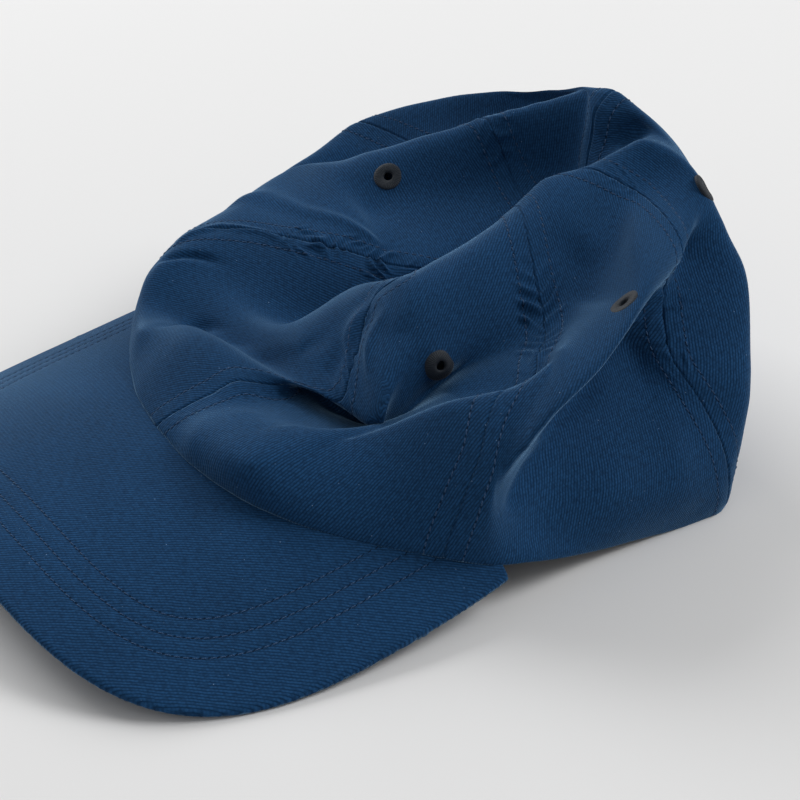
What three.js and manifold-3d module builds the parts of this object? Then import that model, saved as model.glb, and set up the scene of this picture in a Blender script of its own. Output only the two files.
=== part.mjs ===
// A soft six-panel cap lying on a flat surface, its unstiffened crown slumped into folds behind the peak.
//
// Sizes are millimetres. The modelling frame puts the front of the crown at x = 0, y = 0 on the seam that
// joins crown and peak: the peak points to -Y, the wearer's left side is +X and the surface is z = 0.
// At the end the whole group moves so that its origin is the middle of its bounding box's bottom.
import * as THREE from 'three';
import Module from 'manifold-3d';
import { mergeVertices } from 'three/addons/utils/BufferGeometryUtils.js';

const wasm = await Module();
wasm.setup();

// Driving dimensions
const CLOTH = 1.0; // wall of the crown: twill, with the seam allowances pressed flat
const GAP = 0.35; // between neighbouring pieces
const SEAM_GAP = 0.6; // between two panels, whose raw edges are turned in
const PEAK_THICK = 2.2; // two cloths over a plastic board
const PEAK_HALF_WIDTH = 95;
const PEAK_REACH = 90; // from the peak's centre line to its tip
const PEAK_CENTRE_Y = 24.5; // the widest line of the peak
const PEAK_POWER = 3.35; // superellipse power of the peak's outline, 2 would be an ellipse
const PEAK_END_Y = 51; // where the peak's two ends meet the rim
const PEAK_END_SHARE = 0.12; // share of each half of the outline that the straight end takes
const PEAK_END_TAPER = 1.3; // how much narrower the peak is at its ends
const PEAK_ARCH = 25; // rise of the peak's middle over its sides
const PEAK_SLOPE = 0.14; // climb of the peak towards the crown, per mm
const PEAK_LIFT = 3.65; // lifts the arch until the front corners touch the surface
const PEAK_TUCK = 3.5; // how far the peak's inner edge runs in under the crown
const PEAK_TURN = 69; // degrees of the rim, each way from the front, that the peak is sewn to
const PEAK_EDGE = 0.4; // thickness left at the peak's rounded edge, as a share
const EYELET_RADIUS = 5;
const EYELET_HOLE = 1.5;
const EYELET_THICK = 1.8;
const EYELET_ROUND = 0.7; // chamfer of the thread ring's corners
const EYELET_SIDES = 16;
const CUTTER_LENGTH = 8;
const DOME_RISE = 1.2; // height of the unworn crown over its rim radius, only used to blend the folds
const SOFTEN = 0.0006; // lets the cloth ease past a fold line by a fraction of a millimetre

// Mesh densities: cells of a panel around and up, cells of the peak along and across
const PANEL_CELLS = { around: 12, up: 22 };
const PEAK_CELLS = { along: 38, across: 6 };
const TOP_UP = 0.985; // panels stop just short of the point where all six meet
const RIM_STEP = 7.5; // degrees between the rim's own points
const STEP = { around: 0.6, up: 0.004 }; // for slopes of the cloth

const NAVY = { color: 0x1c3a5e, roughness: 0.92, metalness: 0 };
const THREAD = { color: 0x243247, roughness: 0.7, metalness: 0 };

// Every place on the cloth has two coordinates: around, in degrees from the front seam towards the wearer's
// left, and up, from 0 at the rim to 1 where the six panels meet, about 165 mm of cloth.
// The rim, [around, x, y, z].
const RIM = [
  [0, 0, -0.3, 28.5], [11, 18.4, -1.9, 27.2], [18, 29, -0.5, 26], [25, 39.8, 2.3, 24],
  [32.5, 50.9, 7.8, 22], [39.5, 60, 14.3, 20], [46, 67.9, 21.6, 18.4], [53, 75, 29.5, 16.7],
  [60, 82.3, 38, 14.7], [66, 88.2, 45.9, 13], [71, 92.3, 53, 13], [81, 92.3, 70, 8],
  [90, 91.6, 85, 4], [99.5, 92, 99, 2], [109, 92.3, 114, 0], [120, 92.5, 131, 0],
  [135, 72, 141, 0], [150, 49, 149, 0], [165, 25, 156, 0], [180, 0, 159, 0],
  [195, -25, 156, 0], [210, -49, 151, 0], [225, -71, 144, 0], [240, -90, 133.5, 0],
  [251, -93.5, 118, 0], [262, -94.5, 101, 2], [272.5, -95, 84, 4.5], [283, -94.5, 68, 9],
  [294, -91.5, 51, 14], [304, -80, 39, 15.5], [315, -66, 28, 20], [326.6, -49.9, 18, 24],
  [339.3, -31.9, 9, 27], [347.6, -19.5, 3.8, 28], [354.3, -9, 1.2, 28.5], [360, 0, -0.3, 28.5],
];

// Lines along which the cloth is bent: one row a fold, its stations are [around, up, x, y, z].
const FOLDS = {
  near_crest: [
    [12, 0.05, 19, 0, 34], [27, 0.11, 44, 4, 40], [37, 0.16, 52, 23, 43.5], [46, 0.2, 58.5, 36.5, 47],
    [54, 0.235, 68, 50, 51.5], [61, 0.27, 76.5, 61.5, 54.5], [70, 0.315, 80.5, 71.5, 59.5],
  ],
  behind_near_crest: [
    [50, 0.3, 61.5, 54.5, 45.5], [60, 0.35, 72, 72, 50], [61, 0.42, 66.5, 82.5, 52],
    [72, 0.42, 72, 82.5, 58.5],
  ],
  pocket: [
    [352, 0.25, 11, 36.5, 34], [360, 0.29, 21.5, 38.5, 34], [369, 0.34, 31, 41.5, 33.5],
    [378, 0.38, 39.5, 45, 32.5],
  ],
  tongue_edge: [
    [346, 0.19, 5, 33, 37], [350, 0.25, 13, 37, 38.5], [354, 0.31, 22, 40, 38.5],
    [358, 0.37, 34, 40, 37.5], [364, 0.41, 45, 40, 38], [373, 0.43, 49.5, 42.5, 40],
    [384, 0.45, 49, 48.5, 43],
  ],
  front_valley: [
    [50, 0.42, 52, 66.5, 44.5], [60, 0.5, 56, 92, 52], [75, 0.6, 50, 108, 59], [90, 0.7, 44, 120, 66],
    [105, 0.7, 42, 128, 70],
  ],
  main_ridge: [
    [0, 0.66, 20, 69, 63], [30, 0.7, 25, 86, 67], [60, 0.8, 16, 113.5, 71], [90, 0.83, 14, 125, 76],
    [120, 0.8, 18, 135, 78], [148, 0.68, 25, 151.5, 85.5],
  ],
  roll_edge: [
    [72, 0.06, 90.5, 53.5, 17], [75, 0.2, 88, 52, 34], [80, 0.31, 92, 57.5, 47.5], [86, 0.38, 93, 68.5, 57],
    [92, 0.43, 90.5, 83, 62.5], [105, 0.46, 77.5, 110, 68], [120, 0.47, 64, 134, 68],
    [136, 0.51, 53, 151, 74.5],
  ],
  under_roll: [
    [82, 0.1, 86.5, 68.5, 19], [84, 0.22, 77, 78, 37.5], [90, 0.33, 69, 95.5, 49.5],
    [105, 0.37, 61, 115.5, 54.5], [120, 0.375, 59.5, 132.5, 55.5], [134, 0.42, 53.5, 145.5, 62.5],
  ],
  roll_crest: [
    [76, 0.4, 77.5, 80, 62], [90, 0.57, 70.5, 106, 67.5], [105, 0.6, 58, 121, 73.5],
    [120, 0.62, 38, 142, 75], [135, 0.6, 38, 153, 80],
  ],
  rear_shoulder: [
    [124, 0.12, 91.5, 134.5, 19], [129, 0.23, 86.5, 139, 36], [134, 0.3, 78.5, 146, 46.5],
    [140, 0.38, 64.5, 156, 60], [150, 0.49, 46.5, 159, 76], [163, 0.54, 24, 162.5, 84],
  ],
  back_top: [
    [180, 0.56, 0, 163, 90], [203, 0.5, -32.5, 163, 79], [225, 0.42, -63, 153.5, 68.5],
    [240, 0.37, -90, 134, 55], [255, 0.33, -92, 119, 49], [270, 0.3, -88, 95, 46],
    [285, 0.29, -80, 74, 44.5], [300, 0.24, -71, 52, 44.5], [315, 0.22, -62, 36, 40],
  ],
  far_ridge: [
    [284, 0.38, -81.5, 98, 50], [265, 0.49, -65, 115.5, 58], [240, 0.54, -41, 142, 71],
    [218, 0.61, -24, 151.5, 80.5], [203, 0.63, -11, 160, 86.5],
  ],
  far_dip: [
    [264, 0.41, -81, 121.5, 46], [240, 0.46, -62, 140, 54.5], [222, 0.53, -42.5, 155.5, 66.5],
    [208, 0.57, -25, 162.5, 76.5],
  ],
  far_slope: [
    [285, 0.62, -37, 100, 49], [270, 0.62, -45, 112, 52], [255, 0.66, -34, 128, 57],
    [240, 0.7, -26, 143, 62], [215, 0.7, -13, 152, 69],
  ],
  valley_floor: [
    [338, 0.68, -11.5, 78.5, 39], [360, 0.8, -3, 95, 42],
  ],
  far_floor: [
    [300, 0.76, -13, 99, 43], [270, 0.8, -14, 118, 47], [240, 0.84, -10, 140, 54], [210, 0.84, -2, 148, 60],
  ],
  pocket_lip: [
    [356, 0.19, 13, 29, 34], [368, 0.23, 29.5, 31, 34.5], [378, 0.26, 42.5, 33.5, 37.5],
  ],
  left_ridge: [
    [341, 0.3, 2, 43.5, 41.5], [343, 0.4, 4, 51.5, 46.5], [347, 0.5, 7.5, 59, 52.5],
    [353, 0.59, 13.5, 64.5, 57.5],
  ],
  left_valley: [
    [330, 0.37, -22, 48.5, 36.5], [328, 0.47, -19.5, 57.5, 33.5], [332, 0.57, -16, 67, 34],
  ],
  beside_tongue: [
    [28, 0.45, 48.5, 53, 42], [38, 0.45, 50.5, 59.5, 43.5],
  ],
  small_crest: [
    [290, 0.34, -71, 74, 49], [292, 0.42, -57, 82, 49.5], [294, 0.5, -39, 89, 49.5],
  ],
};

// Single places where the cloth lies between the folds, [around, up, x, y, z].
const PLACES = [
  [348, 0.13, -16, 22, 37.5], [0, 0.16, 6, 26, 39], [335, 0.13, -34, 24, 35.5], [322, 0.16, -54, 29, 34],
  [12, 0.14, 22, 16, 38.5], [24, 0.19, 36, 22, 39], [90, 0.13, 90, 89, 24], [105, 0.14, 91, 112, 24],
  [120, 0.18, 85, 128, 30], [120, 0.28, 72, 125, 43], [150, 0.22, 54, 153, 34], [180, 0.28, 0, 168, 45],
  [210, 0.25, -55, 158, 38], [240, 0.17, -95, 138, 28], [270, 0.15, -96, 92, 25], [300, 0.1, -80, 46, 29],
  [300, 0.62, -20, 92, 44], [330, 0.2, -42, 33, 32.5], [318, 0.3, -55, 47, 41], [180, 0.5, 0, 168, 83],
  [163, 0.48, 27, 167, 78], [180, 0.62, 0, 156, 85], [165, 0.72, 11, 153, 74], [150, 0.84, 12, 140, 64],
  [180, 0.74, 1, 153, 71], [30, 0.9, 2, 112, 44], [60, 0.12, 84, 42, 31], [60, 0.2, 83, 49, 44],
  [0, 1, 8, 125, 46], [0, 0.58, 26.5, 57.5, 57], [0, 0.5, 31.5, 49.5, 51.5], [0, 0.44, 37, 44, 44.5],
  [350, 0.43, 16.5, 49, 46], [347, 0.34, 11.5, 42, 40.5], [12, 0.55, 36, 58, 55.5],
  [20, 0.5, 42.5, 57.5, 50], [30, 0.54, 46.5, 64, 48], [30, 0.6, 40.5, 69.5, 55],
  [165, 0.62, 13.5, 160, 82], [150, 0.42, 48.5, 163, 63.5], [300, 0.42, -44, 74, 48],
  [300, 0.36, -53, 68.5, 48],
];

// Where each eyelet sits on the cloth
const EYELETS = {
  front_left: { around: 30, up: 0.54 },
  side_left: { around: 92, up: 0.56 },
  rear_left: { around: 150, up: 0.52 },
  rear_right: { around: 212, up: 0.56 },
  side_right: { around: 265, up: 0.575 },
  front_right: { around: 330, up: 0.56 },
};
const PANELS = {
  front_left: 0, side_left: 60, rear_left: 120, rear_right: 180, side_right: 240, front_right: 300,
};
const PANEL_SPAN = 60;

const radians = THREE.MathUtils.degToRad;

/** Height of the peak's upper side over the surface: an arch across it, sloping up towards the crown. */
function peakTop(x, y) {
  return PEAK_ARCH * (1 - (x / PEAK_HALF_WIDTH) ** 2) + PEAK_SLOPE * y + PEAK_LIFT;
}

/** Cubic through rows whose first entry is the parameter, with the mean of the two slopes as tangent. */
function through(rows, at) {
  let i = 0;
  while (i < rows.length - 2 && rows[i + 1][0] < at) i += 1;
  const slope = (j, c) => (rows[j + 1][c] - rows[j][c]) / (rows[j + 1][0] - rows[j][0]);
  const tangent = (j, c) => (slope(Math.max(j - 1, 0), c) + slope(Math.min(j, rows.length - 2), c)) / 2;
  const width = rows[i + 1][0] - rows[i][0];
  const t = (at - rows[i][0]) / width;
  return rows[i].slice(1).map((_, k) => {
    const c = k + 1;
    const hermite = (2 * t ** 3 - 3 * t ** 2 + 1) * rows[i][c] + (3 * t ** 2 - 2 * t ** 3) * rows[i + 1][c];
    const slopes = (t ** 3 - 2 * t ** 2 + t) * tangent(i, c) + (t ** 3 - t ** 2) * tangent(i + 1, c);
    return hermite + width * slopes;
  });
}

/** Height of the rim: it lies on the peak at the front, and comes down to the surface at the back. */
function rimHeight(x, y, ownHeight) {
  const onPeak = peakTop(x, y) + GAP;
  if (y < PEAK_END_Y) return onPeak;
  return Math.max(ownHeight, y < PEAK_END_Y + 7 ? onPeak : 0);
}

/** A point of the rim. */
function rimAt(around) {
  const [x, y, z] = through(RIM, ((around % 360) + 360) % 360);
  return [x, y, rimHeight(x, y, z)];
}

/** A point of the unworn dome, on which distances between places of the cloth are measured. */
function domePoint(around, up) {
  const a = radians(around);
  const rise = radians(90 * up);
  return [Math.sin(a) * Math.cos(rise), -Math.cos(a) * Math.cos(rise), DOME_RISE * Math.sin(rise)];
}

/** Stations of a fold and one more between each two of them, on the smooth line through all. */
function spread(stations) {
  const rows = stations.map((station, i) => [i, ...station]);
  return Array.from({ length: 2 * stations.length - 1 }, (_, i) => through(rows, i / 2));
}

/** Thin-plate kernel: a blend with it bends the cloth as little as the given places allow. */
function kernel(p, q) {
  const r = Math.hypot(p[0] - q[0], p[1] - q[1], p[2] - q[2]);
  return r > 0 ? r * r * Math.log(r) : 0;
}

/** Solves a full linear system with three right-hand sides by elimination with row exchange. */
function solve(matrix, right) {
  const n = matrix.length;
  for (let k = 0; k < n; k += 1) {
    let best = k;
    for (let i = k + 1; i < n; i += 1) if (Math.abs(matrix[i][k]) > Math.abs(matrix[best][k])) best = i;
    [matrix[k], matrix[best]] = [matrix[best], matrix[k]];
    [right[k], right[best]] = [right[best], right[k]];
    for (let i = k + 1; i < n; i += 1) {
      const factor = matrix[i][k] / matrix[k][k];
      if (factor !== 0) {
        for (let j = k; j < n; j += 1) matrix[i][j] -= factor * matrix[k][j];
        for (let c = 0; c < 3; c += 1) right[i][c] -= factor * right[k][c];
      }
    }
  }
  for (let k = n - 1; k >= 0; k -= 1) {
    for (let c = 0; c < 3; c += 1) {
      for (let j = k + 1; j < n; j += 1) right[k][c] -= matrix[k][j] * right[j][c];
      right[k][c] /= matrix[k][k];
    }
  }
  return right;
}

/** Fits the slumped crown: returns a function from around and up to the outer surface's point. */
function slumpedCrown() {
  const rim = Array.from({ length: 360 / RIM_STEP }, (_, i) => [i * RIM_STEP, 0, ...rimAt(i * RIM_STEP)]);
  const held = [...rim, ...Object.values(FOLDS).flatMap(spread), ...PLACES];
  const dome = held.map(([around, up]) => domePoint(around, up));
  const n = held.length;
  const matrix = dome.map((p, i) => [
    ...dome.map((q, j) => kernel(p, q) + (i === j && i >= rim.length ? SOFTEN : 0)), 1, ...p,
  ]);
  for (let c = 0; c < 4; c += 1) {
    matrix.push([...dome.map((p) => (c === 0 ? 1 : p[c - 1])), 0, 0, 0, 0]);
  }
  const targets = held.map((row) => row.slice(2));
  const weights = solve(matrix, [...targets, ...Array.from({ length: 4 }, () => [0, 0, 0])]);
  return (around, up) => {
    const p = domePoint(around, up);
    const out = [...weights[n]];
    p.forEach((value, k) => {
      for (let c = 0; c < 3; c += 1) out[c] += value * weights[n + 1 + k][c];
    });
    dome.forEach((q, i) => {
      const k = kernel(p, q);
      for (let c = 0; c < 3; c += 1) out[c] += k * weights[i][c];
    });
    return new THREE.Vector3(...out);
  };
}

const crownAt = slumpedCrown();

/** The cloth's directions at one place: across a seam that runs up there, and out of the surface. */
function clothFrame(around, up) {
  const along = crownAt(around + STEP.around, up).sub(crownAt(around - STEP.around, up)).normalize();
  const above = crownAt(around, Math.min(up + STEP.up, TOP_UP));
  const climb = above.sub(crownAt(around, Math.max(up - STEP.up, 0)));
  const out = new THREE.Vector3().crossVectors(along, climb).normalize();
  return { across: climb.cross(out).normalize(), out };
}

/** A closed solid between two equal grids of points, grid[i][j], the first one being the outer side. */
function shell(outer, inner) {
  const rows = outer.length;
  const columns = outer[0].length;
  const positions = [...outer.flat(), ...inner.flat()].flatMap((p) => [p.x, p.y, p.z]);
  const index = [];
  const at = (side, i, j) => side * rows * columns + i * columns + j;
  const quad = (a, b, c, d) => index.push(a, b, c, a, c, d);
  for (let i = 0; i < rows - 1; i += 1) {
    for (let j = 0; j < columns - 1; j += 1) {
      quad(at(0, i, j), at(0, i + 1, j), at(0, i + 1, j + 1), at(0, i, j + 1));
      quad(at(1, i, j), at(1, i, j + 1), at(1, i + 1, j + 1), at(1, i + 1, j));
    }
    quad(at(0, i + 1, 0), at(0, i, 0), at(1, i, 0), at(1, i + 1, 0));
    quad(at(0, i, columns - 1), at(0, i + 1, columns - 1), at(1, i + 1, columns - 1), at(1, i, columns - 1));
  }
  for (let j = 0; j < columns - 1; j += 1) {
    quad(at(0, 0, j), at(0, 0, j + 1), at(1, 0, j + 1), at(1, 0, j));
    quad(at(0, rows - 1, j + 1), at(0, rows - 1, j), at(1, rows - 1, j), at(1, rows - 1, j + 1));
  }
  const geometry = new THREE.BufferGeometry();
  geometry.setAttribute('position', new THREE.Float32BufferAttribute(positions, 3));
  geometry.setIndex(index);
  return geometry;
}

/** One crown panel: the cloth between two seams, each edge set back by half the gap. */
function panelGeometry(start) {
  const outer = [];
  const inner = [];
  for (let i = 0; i <= PANEL_CELLS.around; i += 1) {
    const around = start + (PANEL_SPAN * i) / PANEL_CELLS.around;
    const setBack = i === 0 ? SEAM_GAP / 2 : i === PANEL_CELLS.around ? -SEAM_GAP / 2 : 0;
    const outside = [];
    const inside = [];
    for (let j = 0; j <= PANEL_CELLS.up; j += 1) {
      const up = (TOP_UP * j) / PANEL_CELLS.up;
      const { across, out } = clothFrame(around, up);
      const point = crownAt(around, up).addScaledVector(across, setBack);
      if (j === 0) {
        out.setZ(0).normalize();
      }
      const within = point.clone().addScaledVector(out, -CLOTH);
      if (j === 0) {
        const ownHeight = rimAt(around)[2];
        point.setZ(rimHeight(point.x, point.y, ownHeight));
        within.setZ(rimHeight(within.x, within.y, ownHeight));
      }
      outside.push(point);
      inside.push(within);
    }
    outer.push(outside);
    inner.push(inside);
  }
  return shell(outer, inner);
}

/** A three.js geometry as a solid for cutting. */
function toSolid(geometry) {
  const bare = geometry.clone();
  bare.deleteAttribute('normal');
  bare.deleteAttribute('uv');
  const merged = mergeVertices(bare, 1e-5);
  return new wasm.Manifold(new wasm.Mesh({
    numProp: 3,
    vertProperties: new Float32Array(merged.attributes.position.array),
    triVerts: new Uint32Array(merged.index.array),
  }));
}

/** A cut solid back as a three.js geometry. */
function toGeometry(solid) {
  const mesh = solid.getMesh();
  const geometry = new THREE.BufferGeometry();
  const points = new Float32Array(mesh.numVert * 3);
  for (let i = 0; i < mesh.numVert; i += 1) {
    for (let c = 0; c < 3; c += 1) points[3 * i + c] = mesh.vertProperties[i * mesh.numProp + c];
  }
  geometry.setAttribute('position', new THREE.BufferAttribute(points, 3));
  geometry.setIndex(new THREE.BufferAttribute(new Uint32Array(mesh.triVerts), 1));
  return geometry;
}

/** Moves a shape made round the Y axis so that it stands on the cloth at an eyelet. */
function seatOnCloth(geometry, { around, up }) {
  const { out } = clothFrame(around, up);
  const centre = crownAt(around, up).addScaledVector(out, -CLOTH / 2);
  const turn = new THREE.Quaternion().setFromUnitVectors(new THREE.Vector3(0, 1, 0), out);
  return geometry.applyQuaternion(turn).translate(centre.x, centre.y, centre.z);
}

/** The round cut in a panel that an eyelet fills, a gap wider than the eyelet. */
function eyeletCut(place) {
  const radius = EYELET_RADIUS + GAP;
  return seatOnCloth(new THREE.CylinderGeometry(radius, radius, CUTTER_LENGTH, EYELET_SIDES), place);
}

/** A stitched eyelet: a ring of thread round the cloth's edge, with a small open hole. */
function eyeletGeometry(place) {
  const half = EYELET_THICK / 2;
  const section = [
    [EYELET_HOLE, -half / 2], [EYELET_HOLE + EYELET_ROUND, -half],
    [EYELET_RADIUS - EYELET_ROUND, -half], [EYELET_RADIUS, -half / 2],
    [EYELET_RADIUS, half / 2], [EYELET_RADIUS - EYELET_ROUND, half],
    [EYELET_HOLE + EYELET_ROUND, half], [EYELET_HOLE, half / 2],
    [EYELET_HOLE, -half / 2],
  ].map(([r, y]) => new THREE.Vector2(r, y));
  const ring = new THREE.LatheGeometry(section, EYELET_SIDES);
  ring.deleteAttribute('normal');
  ring.deleteAttribute('uv');
  return seatOnCloth(mergeVertices(ring, 1e-4), place);
}

/** The peak's outline at a share of its length: a superellipse round the tip, then a straight end. */
function peakOutline(share) {
  const side = Math.sign(share - 0.5);
  const s = Math.abs(share - 0.5) * 2;
  if (s > 1 - PEAK_END_SHARE) {
    const t = (s - 1 + PEAK_END_SHARE) / PEAK_END_SHARE;
    const x = PEAK_HALF_WIDTH - PEAK_END_TAPER * t * t;
    return [side * x, PEAK_CENTRE_Y + (PEAK_END_Y - PEAK_CENTRE_Y) * t];
  }
  const turn = (Math.PI / 2) * (s / (1 - PEAK_END_SHARE));
  return [
    side * PEAK_HALF_WIDTH * Math.sin(turn) ** (2 / PEAK_POWER),
    PEAK_CENTRE_Y - PEAK_REACH * Math.cos(turn) ** (2 / PEAK_POWER),
  ];
}

/** The peak's inner edge, a little way in under the crown's rim, at the same share of its length. */
function peakInnerEdge(share) {
  const around = (share - 0.5) * 2 * PEAK_TURN;
  const [x, y] = through(RIM, ((around % 360) + 360) % 360);
  const [xa, ya] = through(RIM, (((around - 1) % 360) + 360) % 360);
  const [xb, yb] = through(RIM, (((around + 1) % 360) + 360) % 360);
  const length = Math.hypot(xb - xa, yb - ya);
  return [x - ((yb - ya) / length) * PEAK_TUCK, y + ((xb - xa) / length) * PEAK_TUCK];
}

/** The peak: a stiff curved plate with a rounded outer edge. */
function peakGeometry() {
  const top = [];
  const under = [];
  for (let i = 0; i <= PEAK_CELLS.along; i += 1) {
    const share = 1 - i / PEAK_CELLS.along;
    const [xo, yo] = peakOutline(share);
    const [xi, yi] = peakInnerEdge(share);
    const upper = [];
    const lower = [];
    for (let j = 0; j <= PEAK_CELLS.across; j += 1) {
      const t = j / PEAK_CELLS.across;
      const x = xi + (xo - xi) * t;
      const y = yi + (yo - yi) * t;
      const thinner = j === PEAK_CELLS.across ? (PEAK_THICK * (1 - PEAK_EDGE)) / 2 : 0;
      upper.push(new THREE.Vector3(x, y, peakTop(x, y) - thinner));
      lower.push(new THREE.Vector3(x, y, peakTop(x, y) - PEAK_THICK + thinner));
    }
    top.push(upper);
    under.push(lower);
  }
  return shell(top, under);
}

function piece(name, geometry, look) {
  const mesh = new THREE.Mesh(geometry, new THREE.MeshStandardMaterial(look));
  mesh.name = name;
  return mesh;
}

const cap = new THREE.Group();
cap.name = 'six_panel_cap';
for (const [name, start] of Object.entries(PANELS)) {
  const cloth = toSolid(panelGeometry(start));
  const cut = toSolid(eyeletCut(EYELETS[name]));
  cap.add(piece(`panel_${name}`, toGeometry(cloth.subtract(cut)), NAVY));
  cap.add(piece(`eyelet_${name}`, eyeletGeometry(EYELETS[name]), THREAD));
}
cap.add(piece('peak', peakGeometry(), NAVY));

// The origin: the middle of the bounding box's bottom
const box = new THREE.Box3().setFromObject(cap, true);
const middle = box.getCenter(new THREE.Vector3());
for (const mesh of cap.children) mesh.position.set(-middle.x, -middle.y, -box.min.z);

export default cap;
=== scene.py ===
# %% [markdown]
# A soft six-panel cap
#
# The cap lies on a pale table. Its crown has no stiffener, so it has slumped into folds behind the curved
# peak. This lesson dresses the plain CAD model of the cap in navy cotton twill: the cloth, its seams and
# topstitching, the stitched eyelets and the peak. Every new surface is worked out as whole numpy arrays and
# put in the place of the plain solid it stands for.

# %% Load the plain model
import math

import bpy
import numpy as np
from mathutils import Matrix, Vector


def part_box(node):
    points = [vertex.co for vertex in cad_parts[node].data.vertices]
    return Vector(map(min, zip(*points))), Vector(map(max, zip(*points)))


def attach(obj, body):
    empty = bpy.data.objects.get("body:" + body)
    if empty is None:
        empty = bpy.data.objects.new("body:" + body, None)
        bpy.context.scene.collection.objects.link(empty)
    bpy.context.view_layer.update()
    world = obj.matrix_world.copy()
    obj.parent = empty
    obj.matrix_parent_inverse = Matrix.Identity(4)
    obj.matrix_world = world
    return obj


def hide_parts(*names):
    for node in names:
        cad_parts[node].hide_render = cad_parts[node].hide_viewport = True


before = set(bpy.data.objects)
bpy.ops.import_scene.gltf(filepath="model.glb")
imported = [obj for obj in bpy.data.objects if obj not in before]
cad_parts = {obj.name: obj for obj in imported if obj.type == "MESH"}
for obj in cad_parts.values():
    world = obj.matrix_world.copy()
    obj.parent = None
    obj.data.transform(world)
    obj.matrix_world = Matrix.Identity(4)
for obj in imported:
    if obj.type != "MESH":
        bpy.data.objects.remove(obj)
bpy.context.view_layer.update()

print("nodes:", sorted(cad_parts))

# %% [markdown]
# Where the front of the crown is
#
# A hat maker measures from the seam at the front of the crown, where crown and peak join. The folds below
# are tables of such measures in millimetres. The model itself counts from the middle of its box, so
# everything is moved by one step at the end. The step comes from the peak, whose middle and tip are known
# in both ways.

# %% Millimetres at the crown, metres in the model
PEAK_HALF_WIDTH = 95.0
PEAK_REACH = 90.0
PEAK_CENTRE_Y = 24.5
MILLIMETRE = 0.001
FULL_TURN = 360

peak_low, peak_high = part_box("peak")
crown_front = np.array([
    (peak_low.x + peak_high.x) / 2,
    peak_low.y + (PEAK_REACH - PEAK_CENTRE_Y) * MILLIMETRE,
    0.0,
])
print("front of the crown in the model, in mm:", (crown_front / MILLIMETRE).round(2))


def to_model(points):
    """Points in millimetres from the front of the crown, as metres in the model."""
    return np.asarray(points) * MILLIMETRE + crown_front


def put_in_scene(name, data):
    """A new object with this data, in the scene."""
    made = bpy.data.objects.new(name, data)
    bpy.context.scene.collection.objects.link(made)
    return made


# %% [markdown]
# The camera
#
# The picture was taken from the wearer's left, a little in front and above, from close by with a long lens.
# The camera is put on a line from the target, so that two angles and a distance say all of it. Depth of
# field stays off, because every fold should be sharp.

# %% Camera
VIEW_AZIMUTH = 54.4
VIEW_ELEVATION = 31.0
VIEW_DISTANCE = 620.0
VIEW_TARGET = (-11.0, 91.0, 0.0)
FOCAL_PIXELS = 1985.0
IMAGE_SIDE = 800
SENSOR_WIDTH = 36.0
NEAREST_SEEN = 0.05

azimuth = math.radians(VIEW_AZIMUTH)
elevation = math.radians(VIEW_ELEVATION)
to_camera = np.array([
    math.sin(azimuth) * math.cos(elevation),
    -math.cos(azimuth) * math.cos(elevation),
    math.sin(elevation),
])
camera_data = bpy.data.cameras.new("photo_camera")
camera_data.sensor_width = SENSOR_WIDTH
camera_data.lens = FOCAL_PIXELS / IMAGE_SIDE * SENSOR_WIDTH
camera_data.clip_start = NEAREST_SEEN
camera = put_in_scene("photo_camera", camera_data)
camera.location = to_model(np.array(VIEW_TARGET) + to_camera * VIEW_DISTANCE)
camera.rotation_euler = (math.pi / 2 - elevation, 0.0, azimuth)
bpy.context.scene.camera = camera
print("camera at", [round(v, 3) for v in camera.location], "lens", round(camera_data.lens, 1))

# %% [markdown]
# The folds of the crown
#
# A place on the cloth has two coordinates: around, in degrees from the front seam towards the wearer's
# left, and up, from 0 at the rim to 1 where the six panels meet, which is about 165 mm of cloth. The rim
# and each fold are short rows of stations that say where a place of the cloth has come to lie. Sculpting
# each fold by hand would also work, but a table can be measured and changed one fold at a time.

# %% Where the cloth lies
# The rim, rows of around, x, y, z
RIM = [
    [0, 0, -0.3, 28.5], [11, 18.4, -1.9, 27.2], [18, 29, -0.5, 26], [25, 39.8, 2.3, 24],
    [32.5, 50.9, 7.8, 22], [39.5, 60, 14.3, 20], [46, 67.9, 21.6, 18.4], [53, 75, 29.5, 16.7],
    [60, 82.3, 38, 14.7], [66, 88.2, 45.9, 13], [71, 92.3, 53, 13], [81, 92.3, 70, 8],
    [90, 91.6, 85, 4], [99.5, 92, 99, 2], [109, 92.3, 114, 0], [120, 92.5, 131, 0],
    [135, 72, 141, 0], [150, 49, 149, 0], [165, 25, 156, 0], [180, 0, 159, 0],
    [195, -25, 156, 0], [210, -49, 151, 0], [225, -71, 144, 0], [240, -90, 133.5, 0],
    [251, -93.5, 118, 0], [262, -94.5, 101, 2], [272.5, -95, 84, 4.5], [283, -94.5, 68, 9],
    [294, -91.5, 51, 14], [304, -80, 39, 15.5], [315, -66, 28, 20], [326.6, -49.9, 18, 24],
    [339.3, -31.9, 9, 27], [347.6, -19.5, 3.8, 28], [354.3, -9, 1.2, 28.5], [360, 0, -0.3, 28.5],
]
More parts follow.
